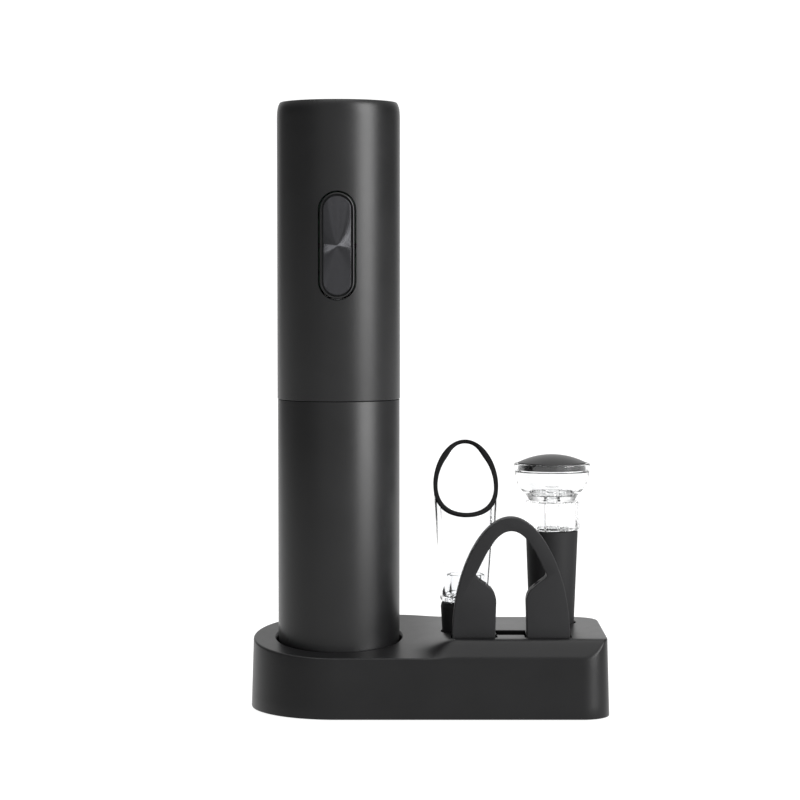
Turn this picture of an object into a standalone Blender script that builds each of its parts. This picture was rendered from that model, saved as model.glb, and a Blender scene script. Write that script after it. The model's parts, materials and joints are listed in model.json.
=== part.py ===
"""Electric wine opener standing in its base with a foil cutter, a wine pourer and a vacuum stopper."""
import math

import bmesh
import bpy
from mathutils import Matrix, Vector

GAP = 0.0003                    # clearance between pieces that touch

# Base
BASE_LENGTH = 0.1333
BASE_DEPTH = 0.0650
BASE_CORNER = 0.0105            # plan radius of the two right corners
BASE_DRAFT = math.radians(2.0)
BASE_WALL = 0.0022
SHELL_BOTTOM = 0.0005
PLATE_LOW, PLATE_HIGH = 0.0008, 0.0028
DECK_Z = 0.0295                 # level deck that carries the accessories
RIM_Z = 0.0224                  # top edge of the front wall
TILT_Z = 0.0267                 # tilted plane's height on the opener's axis
TILT_SLOPE = math.tan(math.radians(6.7))
CREASE_Y = -0.0266              # front edge of the level deck
SWEEP_START, SWEEP_END = 0.0230, 0.0440   # where the tilted plane rises into the deck, from the opener
CREASE_CURL = 0.0130            # how far the deck's front edge curls back there
FACET_FRONT_Y = -0.0320
FOOT_RADIUS, FOOT_HEIGHT = 0.0045, 0.0016
SCREW_HEAD, SCREW_SHANK, SCREW_TOP = 0.0023, 0.0012, 0.0110
BOSS_RADIUS = 0.0029

# Places on the base
OPENER_X = BASE_DEPTH / 2 + 0.0005 - BASE_LENGTH / 2
POURER = (OPENER_X + 0.0477, -0.0028)
STOPPER = (OPENER_X + 0.0813, 0.0178)
CUTTER = (OPENER_X + 0.0640, -0.0189)
FEET = [(OPENER_X - 0.010, -0.021), (OPENER_X - 0.010, 0.021), (0.050, -0.021), (0.050, 0.021)]
SCREWS = [(OPENER_X - 0.0191, -0.0191), (OPENER_X - 0.0191, 0.0191), (0.0592, -0.0256), (0.0592, 0.0256)]

# Sockets in the base
RECESS_RADIUS, RECESS_FLOOR, RECESS_CHAMFER = 0.0234, 0.0080, 0.0007
POURER_HOLE, POURER_FLOOR = 0.0094, 0.0070
STOPPER_HOLE, STOPPER_FLOOR = 0.0093, 0.0140
SOCKET_WALL = 0.0016
POCKET_FLOOR = 0.0210
NOTCH_FLOOR = 0.0140
PAD_HEIGHT = 0.0010

# Opener housings
HOUSING_RADIUS, HOUSING_WALL = 0.0230, 0.0020
HOUSING_TOP, CROWN_RADIUS, SHOULDER_LOW = 0.2271, 0.0219, 0.2206
SEAM_Z = 0.1164
SEAM_GAP = 0.0005
LOWER_RADIUS, LOWER_BOTTOM = 0.02285, 0.0096
SPIGOT_RADIUS, SPIGOT_TOP = 0.0206, 0.1215

# Rocker button
ROCKER_Z, ROCKER_PIN_Y = 0.1736, -0.0188
ROCKER_OPENING = (0.0138, 0.0398)
ROCKER_SIZE = (0.0128, 0.0388)
ROCKER_PLATE = (0.0104, 0.0364)
ROCKER_FRONT, ROCKER_BACK = 0.0235, -0.0178
PLATE_FRONT, PLATE_BACK = 0.0232, -0.0219
ROCKER_PIN_RADIUS = 0.0009
SWITCH_OFFSET, SWITCH_TIP = 0.0130, -0.01705

# Drive
MODULE = 0.0005
SUN_TEETH, PLANET_TEETH, RING_TEETH = 12, 15, 42
PLANET_ORBIT = MODULE * (SUN_TEETH + PLANET_TEETH) / 2
BACKLASH = 0.00022
RING_LOW, RING_HIGH, RING_RADIUS = 0.1044, 0.1215, 0.0152
GEAR_WIDTH = 0.0050
OUTPUT_PLANET_Z, INPUT_PLANET_Z = 0.1066, 0.1146
PLANET_BORE, PLANET_PIN = 0.0014, 0.0010
MOTOR_RADIUS, MOTOR_LOW, MOTOR_HIGH = 0.0139, 0.1243, 0.1560

# Rechargeable cell
CELL_Y, CELL_RADIUS, CELL_LOW, CELL_TOP = 0.0050, 0.0092, 0.1590, 0.2225

# Worm
WORM_RADIUS, WORM_WIRE, WORM_PITCH = 0.0034, 0.0013, 0.0085
WORM_TIP, WORM_TOP, SHANK_TOP = 0.0460, 0.0840, 0.0943

# Vacuum stopper
STOPPER_FLANGE, STOPPER_FLANGE_LOW, STOPPER_FLANGE_HIGH = 0.0106, 0.0653, 0.0761
BARREL_RADIUS, BARREL_BORE, BARREL_LOW = 0.0061, 0.0049, 0.0200
HEAD_LOW, HEAD_RIM, HEAD_RADIUS = 0.0765, 0.0908, 0.0146
CAP_RADIUS, CAP_LOW, CAP_EDGE, CAP_TOP = 0.0130, 0.0883, 0.0910, 0.0941

# Pourer
SPOUT_LOW, SPOUT_WALL, TIP_WALL = 0.0407, 0.0016, 0.0005
TIP_START, TIP_END = 0.0930, 0.0995   # heights between which the wall thins towards the pouring tip
CONE_RADIUS, CONE_HEIGHT, CONE_SLOPE = 0.0100, 0.0500, 0.066   # radius at that height, growth per height
RIM_MIDDLE, RIM_RISE, RIM_CURVE = 0.0826, 0.0133, 0.0037   # rim height over the spout, front -1 to back 1
LIP_HEIGHT = 0.0005

# Foil cutter
CUTTER_THICKNESS, CUTTER_FOOT = 0.0080, 0.0213
WHEEL_RADIUS, WHEEL_WIDTH = 0.0018, 0.0010
WHEEL_DEPTH = 0.0013            # wheel centre below the inner face

FINISHES = {                    # colour, roughness, metallic
    "satin_black": ((0.020, 0.020, 0.022), 0.42, 0.0),
    "black_plastic": ((0.030, 0.030, 0.032), 0.50, 0.0),
    "matte_black": ((0.040, 0.040, 0.040), 0.70, 0.0),
    "clear_plastic": ((0.85, 0.87, 0.88), 0.08, 0.0),
    "black_rubber": ((0.025, 0.025, 0.025), 0.80, 0.0),
    "spun_steel": ((0.14, 0.14, 0.15), 0.25, 1.0),
    "polished_steel": ((0.60, 0.60, 0.61), 0.18, 1.0),
    "zinc_steel": ((0.50, 0.51, 0.53), 0.35, 1.0),
    "brass": ((0.60, 0.45, 0.20), 0.35, 1.0),
    "white_nylon": ((0.80, 0.80, 0.76), 0.55, 0.0),
    "board_green": ((0.03, 0.18, 0.08), 0.45, 0.0),
    "cell_blue": ((0.05, 0.15, 0.40), 0.40, 0.0),
}


# Shapes

def finished(bm):
    """Turn a bmesh into a mesh whose faces point outwards."""
    bmesh.ops.remove_doubles(bm, verts=bm.verts, dist=1e-7)
    bmesh.ops.recalc_face_normals(bm, faces=bm.faces)
    mesh = bpy.data.meshes.new("solid")
    bm.to_mesh(mesh)
    bm.free()
    return mesh


def circle(radius, steps, centre=(0.0, 0.0), start=0.0):
    """Points of a circle in a plane."""
    angles = [start + 2 * math.pi * i / steps for i in range(steps)]
    return [(centre[0] + radius * math.cos(a), centre[1] + radius * math.sin(a)) for a in angles]


def arc(centre, radius, start, end, steps):
    """Points of an arc in a plane, both ends included, angles in degrees."""
    angles = [math.radians(start + (end - start) * i / steps) for i in range(steps + 1)]
    return [(centre[0] + radius * math.cos(a), centre[1] + radius * math.sin(a)) for a in angles]


def bezier(p0, p1, p2, p3, steps):
    """Points of a cubic curve in a plane, both ends included."""
    points = []
    for i in range(steps + 1):
        t = i / steps
        weights = ((1 - t) ** 3, 3 * t * (1 - t) ** 2, 3 * t * t * (1 - t), t ** 3)
        points.append(tuple(sum(w * p[k] for w, p in zip(weights, (p0, p1, p2, p3))) for k in (0, 1)))
    return points


def pill(width, height, steps=7):
    """Outline of a slot with round ends, taller than it is wide."""
    radius, shift = width / 2, (height - width) / 2
    return arc((0, shift), radius, 0, 180, steps) + arc((0, -shift), radius, 180, 360, steps)


def turned(profile, segments=24, centre=(0.0, 0.0)):
    """Spin (radius, height) points about Z; a profile that leaves the axis free is closed on itself."""
    bm = bmesh.new()
    rings = []
    for radius, height in profile:
        if radius < 1e-9:
            rings.append([bm.verts.new((centre[0], centre[1], height))])
        else:
            rings.append([bm.verts.new((x, y, height)) for x, y in circle(radius, segments, centre)])
    pairs = list(zip(rings, rings[1:]))
    if profile[0][0] > 1e-9:
        pairs.append((rings[-1], rings[0]))
    for low, high in pairs:
        for i in range(segments):
            j = (i + 1) % segments
            corners = [low[i % len(low)], low[j % len(low)], high[j % len(high)], high[i % len(high)]]
            bm.faces.new(list(dict.fromkeys(corners)))
    return finished(bm)


def loft(loops, capped=True):
    """Skin a row of 3-D loops that have equal counts; without caps the last loop joins the first."""
    bm = bmesh.new()
    rings = [[bm.verts.new(point) for point in loop] for loop in loops]
    pairs = list(zip(rings, rings[1:]))
    if not capped:
        pairs.append((rings[-1], rings[0]))
    for low, high in pairs:
        for i in range(len(low)):
            j = (i + 1) % len(low)
            bm.faces.new((low[i], low[j], high[j], high[i]))
    if capped:
        bm.faces.new(rings[0])
        bm.faces.new(rings[-1])
    return finished(bm)


def prism(outline, low, high):
    """Extrude a plan outline along Z."""
    return loft([[(x, y, z) for x, y in outline] for z in (low, high)])


def front_prism(outline, low, high, centre=(0.0, 0.0)):
    """Extrude an (x, z) outline along Y."""
    return loft([[(centre[0] + x, y, centre[1] + z) for x, z in outline] for y in (low, high)])


def rod(radius, low, high, centre=(0.0, 0.0), segments=20):
    """Upright cylinder."""
    return prism(circle(radius, segments, centre), low, high)


def side_rod(radius, low, high, y, z, segments=16):
    """Cylinder along X."""
    return loft([[(x, u, v) for u, v in circle(radius, segments, (y, z))] for x in (low, high)])


def box(x, y, z):
    """Block between the given pairs of limits."""
    return prism([(x[0], y[0]), (x[1], y[0]), (x[1], y[1]), (x[0], y[1])], z[0], z[1])


def tube_along(points, radii, sides):
    """Round wire through 3-D points, its section carried along without twist."""
    points = [Vector(p) for p in points]
    loops = []
    side = None
    for i, point in enumerate(points):
        tangent = (points[min(i + 1, len(points) - 1)] - points[max(i - 1, 0)]).normalized()
        side = tangent.orthogonal() if side is None else side - tangent * side.dot(tangent)
        side.normalize()
        other = tangent.cross(side)
        loops.append([point + radii[i] * (side * c + other * s) for c, s in circle(1.0, sides)])
    return loft(loops)


def combined(mesh, tools, operation):
    """Apply exact booleans of the tool meshes to a mesh, one after another."""
    for tool in tools:
        body = bpy.data.objects.new("body", mesh)
        other = bpy.data.objects.new("tool", tool)
        for item in (body, other):
            bpy.context.scene.collection.objects.link(item)
        modifier = body.modifiers.new("solid", "BOOLEAN")
        modifier.operation = operation
        modifier.solver = "EXACT"
        modifier.object = other
        graph = bpy.context.evaluated_depsgraph_get()
        mesh = bpy.data.meshes.new_from_object(body.evaluated_get(graph), depsgraph=graph)
        bpy.data.objects.remove(body)
        bpy.data.objects.remove(other)
    return mesh


def cut(mesh, *tools):
    """Take the tools away from a mesh."""
    return combined(mesh, tools, "DIFFERENCE")


def joined(mesh, *tools):
    """Add the tools to a mesh."""
    return combined(mesh, tools, "UNION")


def gear_outline(teeth, internal=False):
    """Trapezoid teeth on the pitch circle, a tooth centred on +X, or a space for an internal gear."""
    pitch = MODULE * teeth / 2
    thickness = math.pi * MODULE / 2 - BACKLASH
    inward = -1 if internal else 1
    tip, root = pitch + inward * 0.85 * MODULE, pitch - inward * 1.25 * MODULE
    start = math.pi / teeth if internal else 0.0
    points = []
    for tooth in range(teeth):
        middle = start + 2 * math.pi * tooth / teeth
        for radius, side in ((root, -1), (tip, -1), (tip, 1), (root, 1)):
            width = thickness - 2 * inward * (radius - pitch) * math.tan(math.radians(20))
            angle = middle + side * width / (2 * radius)
            points.append((radius * math.cos(angle), radius * math.sin(angle)))
    return points


# Placing

def finish_material(name):
    """Material of a finish, made once."""
    if name in bpy.data.materials:
        return bpy.data.materials[name]
    colour, roughness, metallic = FINISHES[name]
    material = bpy.data.materials.new(name)
    material.use_nodes = True
    shader = material.node_tree.nodes["Principled BSDF"]
    shader.inputs["Base Color"].default_value = (*colour, 1.0)
    shader.inputs["Roughness"].default_value = roughness
    shader.inputs["Metallic"].default_value = metallic
    material.diffuse_color = (*colour, 1.0)
    return material


def group(name, x=0.0, y=0.0):
    """Empty that carries one separable part of the set."""
    empty = bpy.data.objects.new(name, None)
    empty.location = (x, y, 0.0)
    bpy.context.scene.collection.objects.link(empty)
    return empty


def place(name, mesh, finish, parent, pivot=(0.0, 0.0, 0.0)):
    """Make a named object of a mesh that was drawn about its group, with its origin at the pivot."""
    mesh.name = name
    mesh.transform(Matrix.Translation(-Vector(pivot)))
    mesh.materials.clear()
    mesh.materials.append(finish_material(finish))
    mesh.shade_smooth()
    mesh.set_sharp_from_angle(angle=math.radians(30))
    item = bpy.data.objects.new(name, mesh)
    item.parent = parent
    item.location = pivot
    bpy.context.scene.collection.objects.link(item)
    return item


# Base

def base_outline(inset):
    """Plan of the base: a round left end concentric with the opener and two rounded right corners."""
    half, radius = BASE_DEPTH / 2, BASE_DEPTH / 2 - inset
    left = -BASE_LENGTH / 2 + half
    right, corner = BASE_LENGTH / 2 - BASE_CORNER, BASE_CORNER - inset
    return (arc((left, 0), radius, 90, 270, 22) + arc((right, BASE_CORNER - half), corner, -90, 0, 5)
            + arc((right, half - BASE_CORNER), corner, 0, 90, 5))


def drafted(inset, low, high):
    """Prism on the base's plan whose walls lean in with height."""
    loops = []
    for z in (low, high):
        lean = math.tan(BASE_DRAFT) * z
        loops.append([(x, y, z) for x, y in base_outline(inset + lean)])
    return loft(loops)


def sweep(x):
    """Smooth change from 0 on the tilted plane to 1 on the level deck."""
    t = min(max((x - OPENER_X - SWEEP_START) / (SWEEP_END - SWEEP_START), 0.0), 1.0)
    return t * t * (3 - 2 * t)


def crease_y(x):
    """Front edge of the level deck, which curls back where the tilted plane begins."""
    return CREASE_Y + CREASE_CURL * (1 - sweep(x)) ** 2


def top_height(x, y):
    """Height of the base's top surface."""
    tilted = TILT_Z + TILT_SLOPE * y
    edge = crease_y(x)
    facet = DECK_Z - (DECK_Z - RIM_Z) * max(edge - y, 0.0) / (edge - FACET_FRONT_Y)
    return tilted + (facet - tilted) * sweep(x)


def below_top(drop):
    """Solid under the top surface lowered by drop, wider than the base."""
    span = 0.080
    xs = [-span] + [OPENER_X + SWEEP_START + (SWEEP_END - SWEEP_START) * i / 7 for i in range(8)] + [span]
    loops = []
    for x in xs:
        edge = crease_y(x)
        ys = [-0.040, FACET_FRONT_Y, (edge + FACET_FRONT_Y) / 2, edge, edge + 0.008, 0.010, 0.0246, 0.040]
        top = [(x, y, top_height(x, y) - drop) for y in ys]
        loops.append([(x, -0.040, -0.010), *top, (x, 0.040, -0.010)])
    return loft(loops)


def pocket_limits(side):
    """X limits of the cutter's left (-1) or right (1) foot pocket."""
    near, far = CUTTER[0] + side * 0.0052, CUTTER[0] + side * 0.0222
    return (min(near, far), max(near, far))


def base_shell():
    """Moulded shell, open below, with the sockets and screw bosses hanging from its top."""
    shell = combined(drafted(0.0, SHELL_BOTTOM, 0.040), [below_top(0.0)], "INTERSECT")
    cavity = combined(drafted(BASE_WALL, -0.005, 0.040), [below_top(BASE_WALL)], "INTERSECT")
    half_slot = CUTTER_THICKNESS / 2 + GAP
    slot_y = (CUTTER[1] - half_slot, CUTTER[1] + half_slot)
    notch_x = (CUTTER[0] - 0.0052, CUTTER[0] + 0.0060)
    notch_y = (-0.0165, -0.0046)
    wall = SOCKET_WALL
    kept = [
        rod(RECESS_RADIUS + 0.0020, RECESS_FLOOR - 0.0017, 0.040, (OPENER_X, 0), 40),
        rod(POURER_HOLE + wall, POURER_FLOOR - wall, 0.040, POURER, 24),
        rod(STOPPER_HOLE + wall, STOPPER_FLOOR - wall, 0.040, STOPPER, 24),
        box((pocket_limits(-1)[0] - wall, pocket_limits(1)[1] + wall), (slot_y[0] - wall, slot_y[1] + wall),
            (POCKET_FLOOR - wall, 0.040)),
        box((notch_x[0] - wall, notch_x[1] + wall), (notch_y[0] - wall, notch_y[1] + wall),
            (NOTCH_FLOOR - wall, 0.040)),
    ]
    kept += [rod(BOSS_RADIUS, PLATE_HIGH + GAP, 0.040, place_xy, 12) for place_xy in SCREWS]
    cavity = cut(cavity, *kept)
    reach = 0.004
    chamfer = turned([(RECESS_RADIUS - 0.002, 0.0), (RECESS_RADIUS, 0.0), (RECESS_RADIUS + reach, reach),
                      (RECESS_RADIUS - 0.002, reach)], 40)
    chamfer.transform(Matrix.Translation((OPENER_X, 0, TILT_Z - RECESS_CHAMFER))
                      @ Matrix.Rotation(math.atan(TILT_SLOPE), 4, "X"))
    holes = [
        rod(RECESS_RADIUS, RECESS_FLOOR, 0.040, (OPENER_X, 0), 40),
        chamfer,
        rod(POURER_HOLE, POURER_FLOOR, 0.040, POURER, 24),
        rod(STOPPER_HOLE, STOPPER_FLOOR, 0.040, STOPPER, 24),
        box(pocket_limits(-1), slot_y, (POCKET_FLOOR, 0.040)),
        box(pocket_limits(1), slot_y, (POCKET_FLOOR, 0.040)),
        box(notch_x, notch_y, (NOTCH_FLOOR, 0.040)),
    ]
    holes += [rod(SCREW_SHANK + GAP, -0.001, SCREW_TOP + 0.001, place_xy, 10) for place_xy in SCREWS]
    return cut(shell, cavity, *holes)


def build_base():
    base = group("base")
    place("base_shell", base_shell(), "black_plastic", base)
    plate = prism(base_outline(BASE_WALL + GAP), PLATE_LOW, PLATE_HIGH)
    recesses = [rod(FOOT_RADIUS + GAP, -0.001, FOOT_HEIGHT + GAP, xy, 16) for xy in FEET]
    recesses += [rod(SCREW_HEAD + GAP, -0.001, PLATE_LOW + 0.0014, xy, 12) for xy in SCREWS]
    recesses += [rod(SCREW_SHANK + GAP, -0.001, 0.010, xy, 10) for xy in SCREWS]
    place("base_bottom_plate", cut(plate, *recesses), "black_plastic", base)
    for number, (x, y) in enumerate(FEET, 1):
        foot = turned([(0, 0), (FOOT_RADIUS - 0.0003, 0), (FOOT_RADIUS, 0.0003), (FOOT_RADIUS, FOOT_HEIGHT),
                       (0, FOOT_HEIGHT)], 16, (x, y))
        place(f"rubber_foot_{number}", foot, "black_rubber", base)
    head_low, head_high = PLATE_LOW + 0.0001, PLATE_LOW + 0.0011
    for number, (x, y) in enumerate(SCREWS, 1):
        outline = [(0, head_low), (SCREW_HEAD, head_low), (SCREW_HEAD, head_high), (SCREW_SHANK, head_high),
                   (SCREW_SHANK, SCREW_TOP - 0.001), (0, SCREW_TOP)]
        screw = turned(outline, 12, (x, y))
        slot = box((x - 0.0016, x + 0.0016), (y - 0.0003, y + 0.0003), (0, head_low + 0.0005))
        place(f"base_screw_{number}", cut(screw, slot), "zinc_steel", base)
    pad_low = RECESS_FLOOR + GAP
    pad_high = pad_low + PAD_HEIGHT
    pad = turned([(0, pad_low), (0.0224, pad_low), (0.0224, pad_high), (0, pad_high)],
                 32, (OPENER_X, 0))
    place("recess_pad", pad, "black_rubber", base)


# Opener

def upper_housing():
    """Cup-shaped cover with the button opening in front and the charging opening at the back."""
    inner, ceiling = HOUSING_RADIUS - HOUSING_WALL, HOUSING_TOP - HOUSING_WALL
    low = SEAM_Z + SEAM_GAP / 2
    shoulder = bezier((HOUSING_RADIUS, SHOULDER_LOW), (HOUSING_RADIUS, SHOULDER_LOW + 0.0040),
                      (HOUSING_RADIUS - 0.0004, HOUSING_TOP - 0.0014),
                      (CROWN_RADIUS, HOUSING_TOP - 0.0002), 5)
    profile = [(0, ceiling), (inner - 0.002, ceiling), (inner, ceiling - 0.002), (inner, low),
               (HOUSING_RADIUS, low), *shoulder, (CROWN_RADIUS - 0.0006, HOUSING_TOP), (0, HOUSING_TOP)]
    housing = turned(profile, 44)
    lugs = [box((side * 0.0089 - 0.0013, side * 0.0089 + 0.0013), (-0.0203, -0.0166),
                (ROCKER_Z - 0.003, ROCKER_Z + 0.003)) for side in (-1, 1)]
    opening = front_prism(pill(*ROCKER_OPENING), -0.030, -0.0150, (0, ROCKER_Z))
    pin_hole = side_rod(ROCKER_PIN_RADIUS + GAP, -0.0100, 0.0100, ROCKER_PIN_Y, ROCKER_Z, 12)
    port = box((-0.0048, 0.0048), (0.015, 0.030), (0.2040, 0.2080))
    return cut(joined(housing, *lugs), opening, pin_hole, port)


def lower_housing():
    """Tube that takes the bottle's neck, with a spigot that carries the upper housing."""
    inner = LOWER_RADIUS - HOUSING_WALL
    high = SEAM_Z - SEAM_GAP / 2
    neck = SPIGOT_RADIUS - 0.002
    profile = [(inner, LOWER_BOTTOM), (LOWER_RADIUS - 0.0006, LOWER_BOTTOM),
               (LOWER_RADIUS, LOWER_BOTTOM + 0.0006), (LOWER_RADIUS, high), (SPIGOT_RADIUS, high),
               (SPIGOT_RADIUS, SPIGOT_TOP), (neck, SPIGOT_TOP), (neck, high - 0.004), (inner, high - 0.007)]
    return turned(profile, 44)


def build_rocker(opener):
    """Rocker button: bezel, spun plate, pin and the two switches behind it."""
    pivot = (0.0, ROCKER_PIN_Y, ROCKER_Z)
    centre = (0, ROCKER_Z)
    low, high = ROCKER_Z - 0.030, ROCKER_Z + 0.030
    bezel = combined(front_prism(pill(*ROCKER_SIZE), -0.030, ROCKER_BACK, centre),
                     [rod(ROCKER_FRONT, low, high, segments=72)], "INTERSECT")
    web = box((-0.0055, 0.0055), (-0.0200, -0.0166), (ROCKER_Z - 0.0026, ROCKER_Z + 0.0026))
    seat_size = [size + 2 * GAP for size in ROCKER_PLATE]
    seat = front_prism(pill(*seat_size), -0.030, PLATE_BACK + GAP, centre)
    pin_hole = side_rod(ROCKER_PIN_RADIUS + GAP, -0.010, 0.010, ROCKER_PIN_Y, ROCKER_Z, 12)
    place("rocker_bezel", cut(joined(bezel, web), seat, pin_hole), "satin_black", opener, pivot)
    plate = combined(front_prism(pill(*ROCKER_PLATE), -0.030, PLATE_BACK, centre),
                     [rod(PLATE_FRONT, low, high, segments=72)], "INTERSECT")
    place("rocker_plate", plate, "spun_steel", opener, pivot)
    pin = side_rod(ROCKER_PIN_RADIUS, -0.0094, 0.0094, ROCKER_PIN_Y, ROCKER_Z, 12)
    place("rocker_pin", pin, "polished_steel", opener)
    board = box((-0.012, 0.012), (-0.0132, -0.0122), (0.1568, 0.2060))
    place("control_board", board, "board_green", opener)
    for name, side in (("release_switch", 1), ("drive_switch", -1)):
        z = ROCKER_Z + side * SWITCH_OFFSET
        case = box((-0.003, 0.003), (-0.0159, -0.0135), (z - 0.003, z + 0.003))
        plunger = front_prism(circle(0.0016, 12), SWITCH_TIP, -0.0150, (0, z))
        place(name, joined(case, plunger), "black_plastic", opener)


def build_power(opener):
    """Rechargeable cell in its cradle, the charging socket and the motor."""
    centre = (0, CELL_Y)
    cell = turned([(0, CELL_LOW), (CELL_RADIUS, CELL_LOW), (CELL_RADIUS, CELL_TOP), (0.0040, CELL_TOP),
                   (0.0040, CELL_TOP + 0.001), (0, CELL_TOP + 0.001)], 24, centre)
    place("battery_cell", cell, "cell_blue", opener)
    bore, outside, low = CELL_RADIUS + GAP, CELL_RADIUS + 0.002, CELL_LOW - 0.0018
    wrap = arc(centre, outside, -10, 190, 12) + arc(centre, bore, 190, -10, 12)
    cradle = joined(prism(wrap, CELL_LOW, CELL_TOP - 0.0045), rod(outside, low, CELL_LOW - GAP, centre, 24),
                    box((-0.0105, 0.0105), (0.0075, 0.0145), (low, CELL_LOW + 0.001)))
    cradle = cut(cradle, rod(bore, CELL_LOW - GAP, HOUSING_TOP, centre, 24))
    place("battery_cradle", cradle, "white_nylon", opener)
    port = box((-0.0045, 0.0045), (0.0167, 0.0224), (0.2043, 0.2077))
    mouth = box((-0.0040, 0.0040), (0.0180, 0.0240), (0.2048, 0.2072))
    place("charge_socket", cut(port, mouth), "zinc_steel", opener)
    frame = [(0.0048, 0.1218), (0.0204, 0.1218), (0.0204, 0.1236), (0.0162, 0.1240), (0.0162, 0.1480),
             (0.0142, 0.1480), (0.0142, 0.1240), (0.0048, 0.1240)]
    place("drive_frame", turned(frame), "black_plastic", opener)
    bore = MOTOR_RADIUS - 0.001
    can = [(0.0014, MOTOR_LOW), (MOTOR_RADIUS, MOTOR_LOW), (MOTOR_RADIUS, 0.1543), (bore, 0.1543),
           (bore, MOTOR_LOW + 0.0015), (0.0014, MOTOR_LOW + 0.0015)]
    place("motor_can", turned(can), "zinc_steel", opener)
    end_cap = [(0.0014, 0.1546), (MOTOR_RADIUS, 0.1546), (MOTOR_RADIUS, MOTOR_HIGH), (0.0014, MOTOR_HIGH)]
    place("motor_end_cap", turned(end_cap), "white_nylon", opener)


def planet(z):
    """Planet gear about its own axis."""
    gear = prism(gear_outline(PLANET_TEETH), z, z + GEAR_WIDTH)
    return cut(gear, rod(PLANET_BORE, z - 0.001, z + 0.010, segments=10))


def planet_places():
    """Three places round the sun, each a whole number of tooth meshes apart."""
    return circle(PLANET_ORBIT, 3)


def build_drive(opener):
    """Two planetary stages that share one ring gear."""
    arbor = turned([(0, 0.1147), (0.0010, 0.1147), (0.0010, 0.1290), (0.0095, 0.1300), (0.0095, 0.1490),
                    (0.0010, 0.1500), (0.0010, 0.1570), (0, 0.1570)], 16)
    sun_outline = gear_outline(SUN_TEETH)
    rotor = joined(arbor, prism(sun_outline, 0.1149, 0.1205))
    place("motor_rotor", rotor, "polished_steel", opener)
    teeth = gear_outline(RING_TEETH, internal=True)
    ring = rod(RING_RADIUS, RING_LOW, RING_HIGH, segments=32)
    place("ring_gear", cut(ring, prism(teeth, RING_LOW - 0.001, RING_HIGH + 0.001)), "white_nylon", opener)
    for number, (x, y) in enumerate(planet_places(), 1):
        for stage, z in (("input", INPUT_PLANET_Z), ("output", OUTPUT_PLANET_Z)):
            gear = planet(z)
            gear.transform(Matrix.Translation((x, y, 0)))
            place(f"{stage}_planet_{number}", gear, "white_nylon", opener, (x, y, z))
    plate_low = INPUT_PLANET_Z - 0.0026
    pins = [rod(PLANET_PIN, plate_low + 0.001, INPUT_PLANET_Z + GEAR_WIDTH - 0.0004, xy, 10)
            for xy in planet_places()]
    carrier = joined(rod(0.0088, plate_low, INPUT_PLANET_Z - GAP, segments=24),
                     prism(sun_outline, OUTPUT_PLANET_Z, plate_low + 0.0005), *pins)
    place("stage_carrier", carrier, "brass", opener)
    plate_low = RING_LOW + GAP
    pins = [rod(PLANET_PIN, plate_low + 0.001, OUTPUT_PLANET_Z + GEAR_WIDTH - 0.0004, xy, 10)
            for xy in planet_places()]
    shaft = rod(0.0032, 0.0949, plate_low + 0.0005)
    carrier = joined(rod(0.0088, plate_low, OUTPUT_PLANET_Z - GAP, segments=24), shaft, *pins)
    place("output_carrier", carrier, "zinc_steel", opener)
    lid = RING_LOW - GAP
    cover = [(0.0054, 0.1014), (RING_RADIUS, 0.1014), (RING_RADIUS, lid), (0.0054, lid)]
    place("gearbox_cover", turned(cover), "white_nylon", opener)
    bearing = [(0.0035, 0.1008), (0.0051, 0.1008), (0.0051, RING_LOW - GAP), (0.0035, RING_LOW - GAP)]
    place("output_bearing", turned(bearing, 20), "brass", opener)


def worm():
    """Helix that eases onto its axis at the top, with a sharpened tip."""
    steps_per_turn, ease_turns = 11, 0.5
    turns = (WORM_TOP - WORM_TIP) / WORM_PITCH
    count = int(steps_per_turn * turns)
    points, radii = [], []
    for i in range(count + 1):
        turn = turns * i / count
        ease = min((turns - turn) / ease_turns, 1.0)
        radius = WORM_RADIUS * ease * ease * (3 - 2 * ease)
        angle = 2 * math.pi * turn
        points.append((radius * math.cos(angle), radius * math.sin(angle), WORM_TIP + WORM_PITCH * turn))
        radii.append(WORM_WIRE * min(0.15 + 1.1 * turn, 1.0))
    for z in (WORM_TOP + 0.002, WORM_TOP + 0.005, SHANK_TOP):
        points.append((0, 0, z))
        radii.append(WORM_WIRE)
    return tube_along(points, radii, 7)


def build_worm(opener):
    """Worm, its hub, the guide for the bottle's neck and the mouth ring."""
    hub = [(0.0019, 0.0900), (0.0060, 0.0900), (0.0075, 0.0915), (0.0075, 0.0985), (0.0035, 0.0985),
           (0.0035, 0.0946), (0.0019, 0.0946)]
    place("worm_hub", turned(hub, 24), "black_plastic", opener)
    place("worm", worm(), "polished_steel", opener)
    guide = [(0.0165, 0.0127), (0.0204, 0.0127), (0.0204, 0.0470), (0.0142, 0.0500), (0.0142, 0.0860),
             (0.0126, 0.0860), (0.0126, 0.0470), (0.0120, 0.0470), (0.0120, 0.0440), (0.0155, 0.0440),
             (0.0155, 0.0150)]
    place("bottle_guide", turned(guide, 26), "black_plastic", opener)
    ring = [(0.0165, 0.0099), (0.0204, 0.0099), (0.0204, 0.0124), (0.0160, 0.0124)]
    place("mouth_ring", turned(ring), "satin_black", opener)


def build_opener():
    opener = group("opener", OPENER_X)
    place("upper_housing", upper_housing(), "satin_black", opener)
    place("lower_housing", lower_housing(), "satin_black", opener)
    build_rocker(opener)
    build_power(opener)
    build_drive(opener)
    build_worm(opener)


# Vacuum stopper

def ribbed_flange():
    """Outline of the clear grip, with shallow flutes."""
    ribs, depth = 16, 0.0005
    points = []
    for rib in range(ribs):
        middle = 2 * math.pi * rib / ribs
        for offset, sunk in ((-0.30, 0.0), (0.10, 0.0), (0.25, depth), (0.55, depth)):
            radius = STOPPER_FLANGE - sunk
            angle = middle + 2 * math.pi * offset / ribs
            points.append((radius * math.cos(angle), radius * math.sin(angle)))
    return points


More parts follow.
